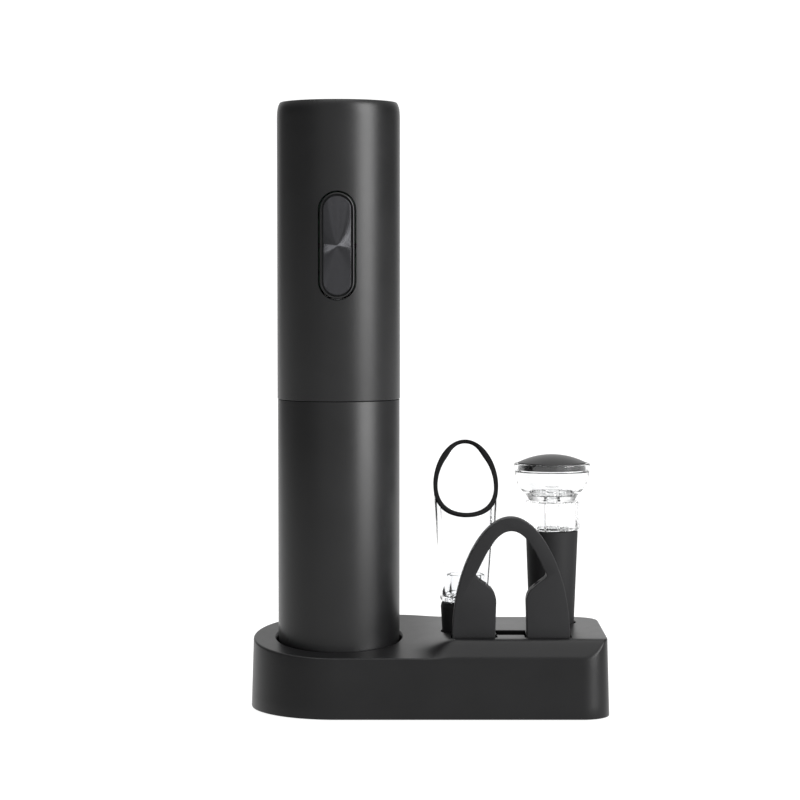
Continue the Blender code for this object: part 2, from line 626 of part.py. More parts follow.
def build_stopper():
    stopper = group("stopper", *STOPPER)
    low = STOPPER_FLOOR + GAP
    high = STOPPER_FLANGE_LOW - GAP
    sleeve = [(0.0064, low), (0.0078, low), (0.0083, low + 0.0008), (0.0086, DECK_Z), (0.0100, high),
              (0.0064, high)]
    place("stopper_sleeve", turned(sleeve, 28), "black_rubber", stopper)
    flange = prism(ribbed_flange(), STOPPER_FLANGE_LOW, STOPPER_FLANGE_HIGH)
    barrel = joined(flange, rod(BARREL_RADIUS, BARREL_LOW, STOPPER_FLANGE_LOW + 0.001, segments=24))
    body = cut(barrel, rod(BARREL_BORE, BARREL_LOW + 0.004, 0.100, segments=24),
               rod(0.0015, 0.010, 0.030, segments=10))
    place("stopper_body", body, "clear_plastic", stopper)
    valve = [(0, 0.0183), (0.0030, 0.0187), (0.0038, 0.0197), (0.0012, 0.0197), (0.0012, 0.0232),
             (0, 0.0232)]
    place("check_valve", turned(valve, 16), "black_rubber", stopper)
    bowl = 0.0791                   # floor of the head's hollow
    head = [(0.0023, HEAD_LOW), (0.0088, HEAD_LOW), (0.0100, 0.0786), (0.0116, 0.0801), (0.0131, 0.0821),
            (0.0140, 0.0850), (0.0144, 0.0880), (HEAD_RADIUS, HEAD_RIM), (0.0133, HEAD_RIM),
            (0.0133, 0.0880),
            (0.0126, 0.0877), (0.0120, 0.0842), (0.0110, 0.0819), (0.0080, bowl), (0.0023, bowl)]
    place("pump_head", turned(head, 30), "clear_plastic", stopper)
    rise = CAP_TOP - CAP_EDGE
    sphere = (CAP_RADIUS ** 2 + rise ** 2) / (2 * rise)
    half = math.degrees(math.asin(CAP_RADIUS / sphere))
    dome = arc((0, CAP_TOP - sphere), sphere, 90 - half, 90, 5)
    cap = [(0, CAP_LOW), (CAP_RADIUS, CAP_LOW), *dome[:-1], (0, CAP_TOP)]
    place("pump_cap", turned(cap, 30), "satin_black", stopper)
    rod_profile = [(0, 0.0290), (0.0034, 0.0290), (0.0034, 0.0307), (0.0020, 0.0307), (0.0020, 0.0363),
                   (0.0034, 0.0363), (0.0034, 0.0380), (0.0020, 0.0380), (0.0020, bowl + GAP),
                   (0.0040, bowl + GAP), (0.0040, bowl + 0.0018), (0, bowl + 0.0018)]
    place("pump_rod", turned(rod_profile, 16), "clear_plastic", stopper)
    seal = [(0.0023, 0.0310), (0.0042, 0.0310), (0.0046, 0.0320), (0.0046, 0.0350), (0.0042, 0.0360),
            (0.0023, 0.0360)]
    place("piston_seal", turned(seal, 20), "black_rubber", stopper)


# Pourer

def cone_loop(side, height=None, shift=0.0, steps=36):
    """Loop on the spout's outer (0) or inner (1) face, or between: level at a height, or along the rim."""
    loop = []
    for i in range(steps):
        angle = 2 * math.pi * i / steps
        z = RIM_MIDDLE if height is None else height
        for _ in range(12 if height is None else 1):
            outer = CONE_RADIUS + CONE_SLOPE * (z - CONE_HEIGHT)
            thinned = min(max((z - TIP_START) / (TIP_END - TIP_START), 0.0), 1.0)
            wall = SPOUT_WALL + (TIP_WALL - SPOUT_WALL) * thinned * thinned * (3 - 2 * thinned)
            radius = outer - wall * side
            back = math.sin(angle) * radius / outer
            if height is None:
                z = RIM_MIDDLE + RIM_RISE * back + RIM_CURVE * back * back + shift
        loop.append((radius * math.cos(angle), radius * math.sin(angle), z))
    return loop


def flat_loop(radius, height, steps=36):
    """Level round loop."""
    return [(x, y, height) for x, y in circle(radius, steps)]


def build_pourer():
    pourer = group("pourer", *POURER)
    floor = SPOUT_LOW + SPOUT_WALL
    spout = loft([flat_loop(0.0074, SPOUT_LOW), flat_loop(0.0093, SPOUT_LOW),
                  flat_loop(0.0098, SPOUT_LOW + 0.0015), cone_loop(0, 0.0480), cone_loop(0, 0.0710),
                  cone_loop(0), cone_loop(1), cone_loop(1, 0.0710), cone_loop(1, 0.0480),
                  flat_loop(0.0081, floor), flat_loop(0.0074, floor)], capped=False)
    place("pourer_spout", spout, "clear_plastic", pourer)
    lip = loft([cone_loop(0, shift=GAP), cone_loop(0, shift=GAP + LIP_HEIGHT),
                cone_loop(1, shift=GAP + LIP_HEIGHT), cone_loop(1, shift=GAP)], capped=False)
    place("drip_lip", lip, "satin_black", pourer)
    low = POURER_FLOOR + GAP
    tube = [(0.0046, low + 0.001), (0.0060, low + 0.001), (0.0060, 0.0404), (0.0071, 0.0404),
            (0.0071, 0.0506), (0.0056, 0.0506), (0.0056, 0.0430), (0.0046, 0.0410)]
    place("pourer_tube", turned(tube, 24), "clear_plastic", pourer)
    plug = [(0.0063, low), (0.0078, low), (0.0085, low + 0.001), (0.0088, DECK_Z), (0.0094, 0.0385),
            (0.0090, 0.0401), (0.0063, 0.0401)]
    place("pourer_plug", turned(plug, 28), "black_rubber", pourer)


# Foil cutter

def cutter_half():
    """Right half of the cutter's outline as (x, z): outer side down to the foot, then the inner side up."""
    outer = bezier((0, 0.0736), (0.0115, 0.0736), (0.0217, 0.0520), (0.0217, 0.0300), 11)
    foot = [*arc((0.0207, CUTTER_FOOT + 0.001), 0.001, 0, -90, 2), (0.0060, CUTTER_FOOT)]
    nose = bezier((0.0055, 0.0424), (0.0055, 0.0446), (0.0063, 0.0466), (0.0082, 0.0480), 4)
    shoulder = bezier((0.0119, 0.0509), (0.0129, 0.0516), (0.0132, 0.0523), (0.0129, 0.0529), 3)
    inner = bezier((0.0129, 0.0529), (0.0095, 0.0595), (0.0060, 0.0687), (0.0, 0.0687), 8)
    return outer + foot, nose + shoulder + inner[1:]


def wheel_places():
    """Wheel centres in the two upper flanks and the two noses, as (x, z)."""
    upper = bezier((0.0129, 0.0529), (0.0095, 0.0595), (0.0060, 0.0687), (0.0, 0.0687), 2)[1]
    places = []
    for point, direction in ((upper, (0.86, 0.51)), ((0.0096, 0.0491), (0.61, -0.79))):
        x, z = (point[k] + WHEEL_DEPTH * direction[k] for k in (0, 1))
        places += [(x, z), (-x, z)]
    return places


def build_cutter():
    cutter = group("foil_cutter", *CUTTER)
    outside, inside = cutter_half()
    right = outside + inside
    left = [(-x, z) for x, z in reversed(right[1:-1])]
    half = CUTTER_THICKNESS / 2
    body = front_prism(right + left, -half, half)
    pocket, hole = WHEEL_RADIUS + GAP, 0.0009
    tools = []
    for centre in wheel_places():
        tools.append(front_prism(circle(pocket, 14), -WHEEL_WIDTH / 2 - GAP, WHEEL_WIDTH / 2 + GAP, centre))
        tools.append(front_prism(circle(hole, 8), -0.0026, 0.0026, centre))
    place("cutter_body", cut(body, *tools), "matte_black", cutter)
    for number, (x, z) in enumerate(wheel_places(), 1):
        half = WHEEL_WIDTH / 2
        outline = [(0.0, -0.0023), (0.0006, -0.0023), (0.0006, -half), (0.0011, -half), (WHEEL_RADIUS, 0.0),
                   (0.0011, half), (0.0006, half), (0.0006, 0.0023), (0.0, 0.0023)]
        wheel = turned(outline, 14)
        wheel.transform(Matrix.Translation((x, 0, z)) @ Matrix.Rotation(math.pi / 2, 4, "X"))
        place(f"cutting_wheel_{number}", wheel, "polished_steel", cutter, (x, 0.0, z))


for item in list(bpy.data.objects):
    bpy.data.objects.remove(item)
build_base()
build_opener()
build_stopper()
build_pourer()
build_cutter()
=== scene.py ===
import json
import math

import bmesh
import bpy
from mathutils import Matrix, Vector


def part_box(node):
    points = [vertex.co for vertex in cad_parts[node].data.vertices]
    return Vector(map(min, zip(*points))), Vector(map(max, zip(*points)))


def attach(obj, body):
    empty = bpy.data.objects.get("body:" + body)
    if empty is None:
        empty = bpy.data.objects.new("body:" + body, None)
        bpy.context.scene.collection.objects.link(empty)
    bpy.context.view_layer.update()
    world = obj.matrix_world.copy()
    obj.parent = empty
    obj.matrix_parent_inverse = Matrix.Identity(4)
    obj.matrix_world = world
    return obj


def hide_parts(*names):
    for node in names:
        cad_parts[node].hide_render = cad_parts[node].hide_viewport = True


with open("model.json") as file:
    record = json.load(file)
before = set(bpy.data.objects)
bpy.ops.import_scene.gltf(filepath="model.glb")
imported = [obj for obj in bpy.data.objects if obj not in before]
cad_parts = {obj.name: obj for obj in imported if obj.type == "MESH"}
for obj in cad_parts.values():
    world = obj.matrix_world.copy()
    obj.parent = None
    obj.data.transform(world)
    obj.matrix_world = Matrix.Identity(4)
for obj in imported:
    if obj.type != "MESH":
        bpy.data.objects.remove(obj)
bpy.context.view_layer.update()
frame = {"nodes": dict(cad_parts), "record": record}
print("frame loaded,", len(frame["nodes"]), "nodes")


# where things stand, read from the frame

def middle(node):
    low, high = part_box(node)
    return (low[0] + high[0]) / 2, (low[1] + high[1]) / 2


openerAt = middle("upper_housing")
pourerAt = middle("pourer_plug")
stopperAt = middle("stopper_sleeve")
cutterAt = middle("cutter_body")
gap = 0.0003                                   # the clearance the frame keeps between pieces


# node trees

class Field:                                   # a socket that Python's own operators work on
    def __init__(self, graph, socket):
        self.graph = graph
        self.socket = socket

    def maths(self, operation, other, swapped=False):
        first, second = (other, self) if swapped else (self, other)
        return self.graph.add("ShaderNodeMath", {"operation": operation}, {0: first, 1: second})

    def __add__(self, other):
        return self.maths("ADD", other)

    def __sub__(self, other):
        return self.maths("SUBTRACT", other)

    def __mul__(self, other):
        return self.maths("MULTIPLY", other)

    def __truediv__(self, other):
        return self.maths("DIVIDE", other)

    def __pow__(self, other):
        return self.maths("POWER", other)

    def __radd__(self, other):
        return self.maths("ADD", other, True)

    def __rsub__(self, other):
        return self.maths("SUBTRACT", other, True)

    def __rmul__(self, other):
        return self.maths("MULTIPLY", other, True)

    def __rtruediv__(self, other):
        return self.maths("DIVIDE", other, True)


class Graph:                                   # a node tree that is filled one node at a time
    def __init__(self, tree):
        self.tree = tree

    def add(self, kind, settings=None, values=None, output=0):
        node = self.tree.nodes.new(kind)
        for key, value in (settings or {}).items():
            if key == "stops":                 # a ramp's stops as (position, grey)
                ramp = node.color_ramp.elements
                for element, (position, grey) in zip(ramp, value):
                    element.position = position
                    element.color = (grey, grey, grey, 1)
            else:
                setattr(node, key, value)
        for key, value in (values or {}).items():
            if isinstance(value, Field):
                self.tree.links.new(value.socket, node.inputs[key])
            else:
                node.inputs[key].default_value = value
        return Field(self, node.outputs[output]) if len(node.outputs) else None

    def sine(self, value):
        return self.add("ShaderNodeMath", {"operation": "SINE"}, {0: value})

    def cosine(self, value):
        return self.add("ShaderNodeMath", {"operation": "COSINE"}, {0: value})

    def split(self, vector):
        x = self.add("ShaderNodeSeparateXYZ", None, {0: vector})
        return [Field(self, x.socket.node.outputs[k]) for k in range(3)]

    def join(self, x, y, z):
        return self.add("ShaderNodeCombineXYZ", None, {0: x, 1: y, 2: z})

    def ramp(self, value, low, high, first, last):
        names = {"Value": value, "From Min": low, "From Max": high, "To Min": first, "To Max": last}
        return self.add("ShaderNodeMapRange", {"interpolation_type": "SMOOTHSTEP"}, names)


# materials

def newMaterial(name, fixed, paint):
    material = bpy.data.materials.new(name)
    material.use_nodes = True
    material.node_tree.nodes.clear()
    graph = Graph(material.node_tree)
    surface = graph.add("ShaderNodeBsdfPrincipled", None, {**fixed, **paint(graph)})
    graph.add("ShaderNodeOutputMaterial", None, {"Surface": surface})
    return material


def tint(graph, factor, dark, light):
    values = {"Factor": factor, "A": (*dark, 1), "B": (*light, 1)}
    node = graph.add("ShaderNodeMix", {"data_type": "RGBA"}, None).socket.node
    for key, value in values.items():
        socket = [s for s in node.inputs if s.name == key and s.enabled][0]
        if isinstance(value, Field):
            graph.tree.links.new(value.socket, socket)
        else:
            socket.default_value = value
    return Field(graph, [s for s in node.outputs if s.enabled][0])


def noise(graph, size, detail=2.0):
    place = graph.add("ShaderNodeTexCoord", None, None, "Object")
    return graph.add("ShaderNodeTexNoise", None, {"Vector": place, "Scale": 1 / size, "Detail": detail})


def streaks(graph, value, scale):              # noise along a single value
    return graph.add("ShaderNodeTexNoise", {"noise_dimensions": "1D"}, {"W": value, "Scale": scale})


def moulded(look):                             # moulded plastic or rubber with grain and faint marks
    def paint(graph):
        grain = noise(graph, look["grain"])
        drift = noise(graph, 0.022, 3.0)
        marks = noise(graph, 0.0035, 6.0)
        rough = look["rough"] + (drift - 0.5) * look["drift"] + (marks - 0.5) * look["drift"] * 0.6
        bump = graph.add("ShaderNodeBump", None, {"Height": grain, "Strength": look["relief"],
                                                  "Distance": look["grain"] * 0.25})
        colour = tint(graph, drift, look["dark"], look["light"])
        return {"Base Color": colour, "Roughness": rough, "Normal": bump}
    return paint


def turnedMetal(look):                         # fine rings about a vertical axis, as a lathe leaves them
    def paint(graph):
        x, y, z = graph.split(graph.add("ShaderNodeTexCoord", None, None, "Object"))
        lines = streaks(graph, z, 1 / look["pitch"])
        drift = noise(graph, 0.006, 3.0)
        bump = graph.add("ShaderNodeBump", None, {"Height": lines, "Strength": look["relief"],
                                                  "Distance": look["pitch"] * 0.2})
        rough = look["rough"] + (lines - 0.5) * 0.12 + (drift - 0.5) * 0.10
        colour = tint(graph, drift, look["dark"], look["light"])
        return {"Base Color": colour, "Roughness": rough, "Normal": bump}
    return paint


def clearPlastic(look):                        # polished clear plastic with the faintest flow marks
    def paint(graph):
        flow = noise(graph, 0.012, 1.0)
        marks = noise(graph, 0.0012, 5.0)
        bump = graph.add("ShaderNodeBump", None, {"Height": flow, "Strength": 0.04, "Distance": 0.0004})
        return {"Base Color": tint(graph, flow, look["dark"], look["light"]),
                "Roughness": look["rough"] + marks * 0.03, "Normal": bump}
    return paint


def spunPlate(look):                           # fine rings about the button's middle and faint spokes
    def paint(graph):
        x, y, z = graph.split(graph.add("ShaderNodeTexCoord", None, None, "Object"))
        across, up = x - look["centre"][0], z - look["centre"][1]
        radius = (across * across + up * up) ** 0.5 + 0.00001
        angle = graph.add("ShaderNodeMath", {"operation": "ARCTAN2"}, {0: up, 1: across})
        wander = streaks(graph, radius, 1 / look["wander"])
        spokes = streaks(graph, angle, look["spokes"])
        slope = graph.sine(radius * (2 * math.pi / look["pitch"]) + wander * 2) * look["relief"]
        lean = graph.join(across / radius * slope, 0.0, up / radius * slope)
        spaces = {"vector_type": "VECTOR", "convert_from": "OBJECT", "convert_to": "WORLD"}
        lean = graph.add("ShaderNodeVectorTransform", spaces, {"Vector": lean})
        flat = graph.add("ShaderNodeNewGeometry", None, None, "Normal")
        leant = graph.add("ShaderNodeVectorMath", {"operation": "ADD"}, {0: flat, 1: lean})
        normal = graph.add("ShaderNodeVectorMath", {"operation": "NORMALIZE"}, {0: leant})
        shade = spokes * 0.5 + wander * 0.5
        return {"Base Color": tint(graph, shade, look["dark"], look["light"]),
                "Roughness": look["rough"] + (wander - 0.5) * 0.10, "Normal": normal}
    return paint


def black(rough, grain=0.00035, relief=0.25, dark=0.006, light=0.012, drift=0.07):
    return {"rough": rough, "grain": grain, "relief": relief, "drift": drift,
            "dark": (dark, dark, dark * 1.05), "light": (light, light, light * 1.05)}


def metal(rough, pitch, relief, dark, light):
    return {"rough": rough, "pitch": pitch, "relief": relief, "dark": dark, "light": light}


def glossy(rough, grain, relief, dark, light):
    return {"rough": rough, "grain": grain, "relief": relief, "drift": 0.1, "dark": dark, "light": light}


plateCentre = [sum(pair) / 2 for pair in zip(*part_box("rocker_plate"))]
spun = metal(0.15, 0.00016, 0.62, (0.024, 0.024, 0.026), (0.046, 0.046, 0.049))
spun.update({"centre": (plateCentre[0], plateCentre[2]), "wander": 0.0004, "spokes": 5.0})
satin = {"IOR": 1.5, "Specular IOR Level": 0.27}
dull = {"IOR": 1.5, "Specular IOR Level": 0.13}
broad = {"IOR": 1.5, "Specular IOR Level": 0.18}
finishes = {
    "satin_black": newMaterial("satinBlack", satin, moulded(
        black(0.36, relief=0.12, dark=0.003, light=0.007))),
    "black_plastic": newMaterial("baseBlack", broad, moulded(
        black(0.36, relief=0.2, dark=0.003, light=0.007))),
    "matte_black": newMaterial("cutterBlack", dull, moulded(black(0.55, 0.0003, 0.4, 0.009, 0.015))),
    "black_rubber": newMaterial("blackRubber", dull, moulded(black(0.60, 0.0004, 0.4, 0.006, 0.012))),
    "white_nylon": newMaterial("whiteNylon", {"IOR": 1.5}, moulded(
        glossy(0.5, 0.0004, 0.3, (0.70, 0.69, 0.64), (0.82, 0.81, 0.77)))),
    "board_green": newMaterial("solderMask", {"Coat Weight": 0.4}, moulded(
        glossy(0.4, 0.0006, 0.2, (0.015, 0.12, 0.05), (0.03, 0.19, 0.08)))),
    "cell_blue": newMaterial("cellSleeve", {"Coat Weight": 0.5}, moulded(
        glossy(0.35, 0.0008, 0.3, (0.03, 0.10, 0.32), (0.05, 0.15, 0.42)))),
    "clear_plastic": newMaterial("clearPlastic", {"Transmission Weight": 1.0, "IOR": 1.42}, clearPlastic(
        {"rough": 0.02, "dark": (0.965, 0.97, 0.972), "light": (0.985, 0.988, 0.99)})),
    "spun_steel": newMaterial("spunSteel", {"Metallic": 1.0}, spunPlate(spun)),
    "polished_steel": newMaterial("polishedSteel", {"Metallic": 1.0}, turnedMetal(
        metal(0.18, 0.0003, 0.15, (0.52, 0.52, 0.53), (0.64, 0.64, 0.65)))),
    "clear_spout": newMaterial("clearSpout", {"Transmission Weight": 1.0, "IOR": 1.18}, clearPlastic(
        {"rough": 0.02, "dark": (0.95, 0.955, 0.96), "light": (0.975, 0.98, 0.985)})),
    "drip_black": newMaterial("dripBlack", {"Specular IOR Level": 0.05}, moulded(
        black(0.5, relief=0.1, dark=0.002, light=0.004))),
    # near-black steel as painted shade, for the rocker pin in its gap and the cutting wheels in their
    # pockets
    "shaded_steel": newMaterial("shadedSteel", {"Metallic": 1.0}, turnedMetal(
        metal(0.45, 0.0003, 0.15, (0.020, 0.020, 0.021), (0.03, 0.03, 0.031)))),
    "zinc_steel": newMaterial("zincSteel", {"Metallic": 1.0}, turnedMetal(
        metal(0.36, 0.0004, 0.25, (0.42, 0.43, 0.45), (0.56, 0.57, 0.58)))),
    "brass": newMaterial("turnedBrass", {"Metallic": 1.0}, turnedMetal(
        metal(0.32, 0.0004, 0.25, (0.48, 0.34, 0.13), (0.62, 0.46, 0.20)))),
}
ownPaint = {"rocker_pin": "shaded_steel"}          # nodes painted otherwise than their slot; the rocker pin gets near-black steel as painted shade
for row in frame["record"]["subparts"]:
    node = frame["nodes"][row["node"]]
    node.data.materials.clear()
    node.data.materials.append(finishes[ownPaint.get(row["node"], row["material_slot"])])
print("materials made,", len(finishes))


# meshes

def finished(shape):
    bmesh.ops.remove_doubles(shape, verts=shape.verts, dist=1e-7)
    bmesh.ops.recalc_face_normals(shape, faces=shape.faces)
    mesh = bpy.data.meshes.new("shape")
    shape.to_mesh(mesh)
    shape.free()
    return mesh


def loft(loops, closed=False, capStart=True, capEnd=True):
    shape = bmesh.new()
    rings = [[shape.verts.new(point) for point in loop] for loop in loops]
    pairs = list(zip(rings, rings[1:])) + ([(rings[-1], rings[0])] if closed else [])
    for low, high in pairs:
        for i in range(len(low)):
            j = (i + 1) % len(low)
            shape.faces.new((low[i], low[j], high[j], high[i]))
    if not closed and capStart:
        shape.faces.new(rings[0])
    if not closed and capEnd:
        shape.faces.new(rings[-1])
    return finished(shape)


def rounded(corners, steps=5):                 # a corner's third number, a radius, becomes an arc
    points = []
    for i, corner in enumerate(corners):
        here = Vector(corner[:2])
        radius = corner[2] if len(corner) > 2 else 0.0
        if radius == 0.0:
            points.append(tuple(here))
            continue
        before = Vector(corners[i - 1][:2]) - here
        after = Vector(corners[(i + 1) % len(corners)][:2]) - here
        half = before.angle(after) / 2
        reach = min(radius / math.tan(half), 0.49 * before.length, 0.49 * after.length)
        radius = reach * math.tan(half)
        before.normalize()
        after.normalize()
        centre = here + (before + after).normalized() * (radius / math.sin(half))
        start, end = here + before * reach - centre, here + after * reach - centre
        turn = start.angle_signed(end)
        for k in range(steps + 1):
            points.append(tuple(centre + Matrix.Rotation(-turn * k / steps, 2) @ start))
    return points


def bezier(p0, p1, p2, p3, steps):
    points = []
    for i in range(steps + 1):
        t = i / steps
        weights = ((1 - t) ** 3, 3 * t * (1 - t) ** 2, 3 * t * t * (1 - t), t ** 3)
        points.append(tuple(sum(w * p[k] for w, p in zip(weights, (p0, p1, p2, p3))) for k in (0, 1)))
    return points


def turned(profile, at, segments=160):         # (radius, height) points spun about an upright axis
    shape = bmesh.new()
    rings = []
    for radius, height in profile:
        if radius < 1e-9:
            rings.append([shape.verts.new((*at, height))])
            continue
        angles = [2 * math.pi * i / segments for i in range(segments)]
        rings.append([shape.verts.new((at[0] + radius * math.cos(a), at[1] + radius * math.sin(a), height))
                      for a in angles])
    pairs = list(zip(rings, rings[1:]))
    if profile[0][0] > 1e-9:
        pairs.append((rings[-1], rings[0]))
    for low, high in pairs:
        for i in range(segments):
            j = (i + 1) % segments
            corners = [low[i % len(low)], low[j % len(low)], high[j % len(high)], high[i % len(high)]]
            shape.faces.new(list(dict.fromkeys(corners)))
    return finished(shape)


def rod(radius, low, high, at, segments=96):
    return turned([(0, low), (radius, low), (radius, high), (0, high)], at, segments)


def block(x, y, z):
    corners = [(x[0], y[0]), (x[1], y[0]), (x[1], y[1]), (x[0], y[1])]
    return loft([[(a, b, height) for a, b in corners] for height in z])


def combined(mesh, tools, operation="DIFFERENCE"):
    for tool in tools:
        body = bpy.data.objects.new("body", mesh)
        other = bpy.data.objects.new("tool", tool)
        for item in (body, other):
            bpy.context.scene.collection.objects.link(item)
        change = body.modifiers.new("solid", "BOOLEAN")
        change.operation = operation
        change.object = other
        graph = bpy.context.evaluated_depsgraph_get()
        mesh = bpy.data.meshes.new_from_object(body.evaluated_get(graph), depsgraph=graph)
        bpy.data.objects.remove(body)
        bpy.data.objects.remove(other)
    return mesh


def bevelled(mesh, width, steps=3, limit=40):  # rounds every edge that is sharper than the limit
    shape = bmesh.new()
    shape.from_mesh(mesh)
    edges = [e for e in shape.edges if len(e.link_faces) == 2 and e.calc_face_angle() > math.radians(limit)]
    bmesh.ops.bevel(shape, geom=edges, offset=width, segments=steps, profile=0.5, affect="EDGES")
    shape.to_mesh(mesh)
    shape.free()
    return mesh


def addPiece(name, mesh, body, nodes, finish, sharp=35, paint=None):
    mesh.name = name
    mesh.materials.clear()
    mesh.materials.append(finishes[paint or finish])
    mesh.shade_smooth()
    mesh.set_sharp_from_angle(angle=math.radians(sharp))
    piece = bpy.data.objects.new(name, mesh)
    bpy.context.scene.collection.objects.link(piece)
    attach(piece, body)
    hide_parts(*nodes)
    return piece


# geometry nodes

def newTree(name, inputs):                     # inputs are name: (socket type, default)
    tree = bpy.data.node_groups.new(name, "GeometryNodeTree")
    tree.interface.new_socket("Geometry", in_out="OUTPUT", socket_type="NodeSocketGeometry")
    for title, (kind, default) in inputs.items():
        socket = tree.interface.new_socket(title, in_out="INPUT", socket_type=kind)
        if default is not None:
            socket.default_value = default
    graph = Graph(tree)
    source = tree.nodes.new("NodeGroupInput")
    return graph, {title: Field(graph, source.outputs[title]) for title in inputs}


def endTree(graph, geometry, finish):
    solid = graph.add("GeometryNodeRealizeInstances", None, {"Geometry": geometry})
    coated = graph.add("GeometryNodeSetMaterial", None, {"Geometry": solid, "Material": finishes[finish]})
    graph.add("NodeGroupOutput", None, {"Geometry": coated})
    return graph.tree


def grown(tree, values, start=None):           # runs a tree on an empty or given mesh and keeps the result
    holder = bpy.data.objects.new("holder", start or bpy.data.meshes.new("start"))
    bpy.context.scene.collection.objects.link(holder)
    change = holder.modifiers.new("grow", "NODES")
    change.node_group = tree
    named = {item.name: item.identifier for item in tree.interface.items_tree if item.in_out == "INPUT"}
    for title, value in values.items():
        change[named[title]] = value
    graph = bpy.context.evaluated_depsgraph_get()
    mesh = bpy.data.meshes.new_from_object(holder.evaluated_get(graph), depsgraph=graph)
    bpy.data.objects.remove(holder)
    return mesh


# base

baseDims = {
    "length": 0.1333, "depth": 0.0650, "corner": 0.0105, "draft": math.radians(2.0), "bottom": 0.0005,
    "deck": 0.0295, "rim": 0.0224, "tilt": 0.0267, "slope": math.tan(math.radians(6.7)),
    "creaseY": -0.0266, "creaseCurl": 0.0130, "creaseSoft": 0.0008, "creaseFade": 0.0090,
    "facetFront": -0.0320, "sweepStart": 0.0230, "sweepEnd": 0.0440, "edge": 0.0007, "rows": 70,
    "plateRecess": 0.0031, "rimWidth": 0.0024, "foot": 0.0004, "spineShort": 0.002,
}


def sweepAt(x):                                # 0 on the tilted plane, 1 on the level deck
    d = baseDims
    t = min(max((x - openerAt[0] - d["sweepStart"]) / (d["sweepEnd"] - d["sweepStart"]), 0.0), 1.0)
    return t * t * (3 - 2 * t)


def topHeight(x, y):                           # the facet falls away smoothly in front of the crease
    d = baseDims
    raised = sweepAt(x)
    crease = d["creaseY"] + d["creaseCurl"] * (1 - raised) ** 2
    soft = d["creaseSoft"] + d["creaseFade"] * (1 - raised)
    runs = (crease - y, crease - d["facetFront"])
    beyond, full = [(run + math.sqrt(run * run + soft * soft)) / 2 for run in runs]
    facet = d["deck"] - (d["deck"] - d["rim"]) * beyond / full
    tilted = d["tilt"] + d["slope"] * y
    return tilted + (facet - tilted) * raised


def basePlan(inset):                           # a half circle on the left, two corners on the right
    d = baseDims
    half, radius, corner = d["depth"] / 2, d["depth"] / 2 - inset, d["corner"] - inset
    left, right, middleY = -d["length"] / 2 + half, d["length"] / 2 - d["corner"], half - d["corner"]
    points = []

    def sweepArc(cx, cy, size, start, end, steps):
        for i in range(steps):
            a = math.radians(start + (end - start) * i / steps)
            points.append((cx + size * math.cos(a), cy + size * math.sin(a)))

    def straight(a, b, steps):
        for i in range(steps):
            points.append((a[0] + (b[0] - a[0]) * i / steps, a[1] + (b[1] - a[1]) * i / steps))

    sweepArc(left, 0, radius, 90, 270, 150)
    straight((left, -radius), (right, -radius), 120)
    sweepArc(right, -middleY, corner, -90, 0, 26)
    straight((right + corner, -middleY), (right + corner, middleY), 34)
    sweepArc(right, middleY, corner, 0, 90, 26)
    straight((right, radius), (left, radius), 120)
    return points


def baseSkin():                                # walls, rounded edge and top as rings that close on a spine
    d = baseDims
    lean = math.tan(d["draft"])
    spine = (-d["length"] / 2 + d["depth"] / 2, d["length"] / 2 - d["depth"] / 2 - d["spineShort"])
    loops = [[(x, y, d["plateRecess"]) for x, y in basePlan(d["rimWidth"])],
             [(x, y, d["bottom"]) for x, y in basePlan(d["rimWidth"])]]
    for inset, height in ((d["foot"], 0.0), (d["foot"] / 4, d["foot"] / 4), (0.0, d["foot"])):
        loops.append([(x, y, d["bottom"] + height) for x, y in basePlan(inset)])
    wallTop, low = lean * d["rim"], d["bottom"] + d["foot"]
    for k in range(1, 6):
        loops.append([(x, y, low + (topHeight(x, y) - d["edge"] - low) * k / 5)
                      for x, y in basePlan(wallTop * k / 5)])
    for k in range(1, 8):
        a = math.pi / 2 * k / 7
        loops.append([(x, y, topHeight(x, y) - d["edge"] * (1 - math.sin(a)))
                      for x, y in basePlan(wallTop + d["edge"] * (1 - math.cos(a)))])
    outer = basePlan(wallTop + d["edge"])
    for k in range(1, d["rows"] + 1):
        t = k / d["rows"]
        loop = []
        for x, y in outer:
            inner = min(max(x, spine[0]), spine[1])
            px, py = x + (inner - x) * t, y * (1 - t)
            loop.append((px, py, topHeight(px, py)))
        loops.append(loop)
    return loft(loops, capEnd=False)


sockets = {"recess": 0.0234, "recessFloor": 0.0080, "chamfer": 0.0007, "pourer": 0.0094,
           "pourerFloor": 0.0070, "stopper": 0.0093, "stopperFloor": 0.0140, "pocketFloor": 0.0210,
           "pocketInner": 0.0052, "pocketOuter": 0.0222, "notchFloor": 0.0140, "notchRight": 0.0060,
           "notchFront": -0.0165, "notchBack": -0.0046, "corner": 0.0008, "flare": 0.0004, "above": 0.040}


def flareSteps(floor):                         # (height, widening) from a socket's floor to above the deck
    deck, flare = baseDims["deck"], sockets["flare"]
    return ((floor, 0.0), (deck - flare * 0.7, 0.0), (deck + flare * 0.3, flare), (sockets["above"], flare))


def flaredSlot(x, y, floor):
    loops = []
    radius = sockets["corner"]
    for height, grow in flareSteps(floor):
        corners = [(x[0] - grow, y[0] - grow, radius), (x[1] + grow, y[0] - grow, radius),
                   (x[1] + grow, y[1] + grow, radius), (x[0] - grow, y[1] + grow, radius)]
        loops.append([(px, py, height) for px, py in rounded(corners)])
    return loft(loops)


def flaredHole(radius, floor, at):
    sides = [(radius + grow, height) for height, grow in flareSteps(floor)]
    return turned([(0, floor), *sides, (0, sockets["above"])], at, 96)


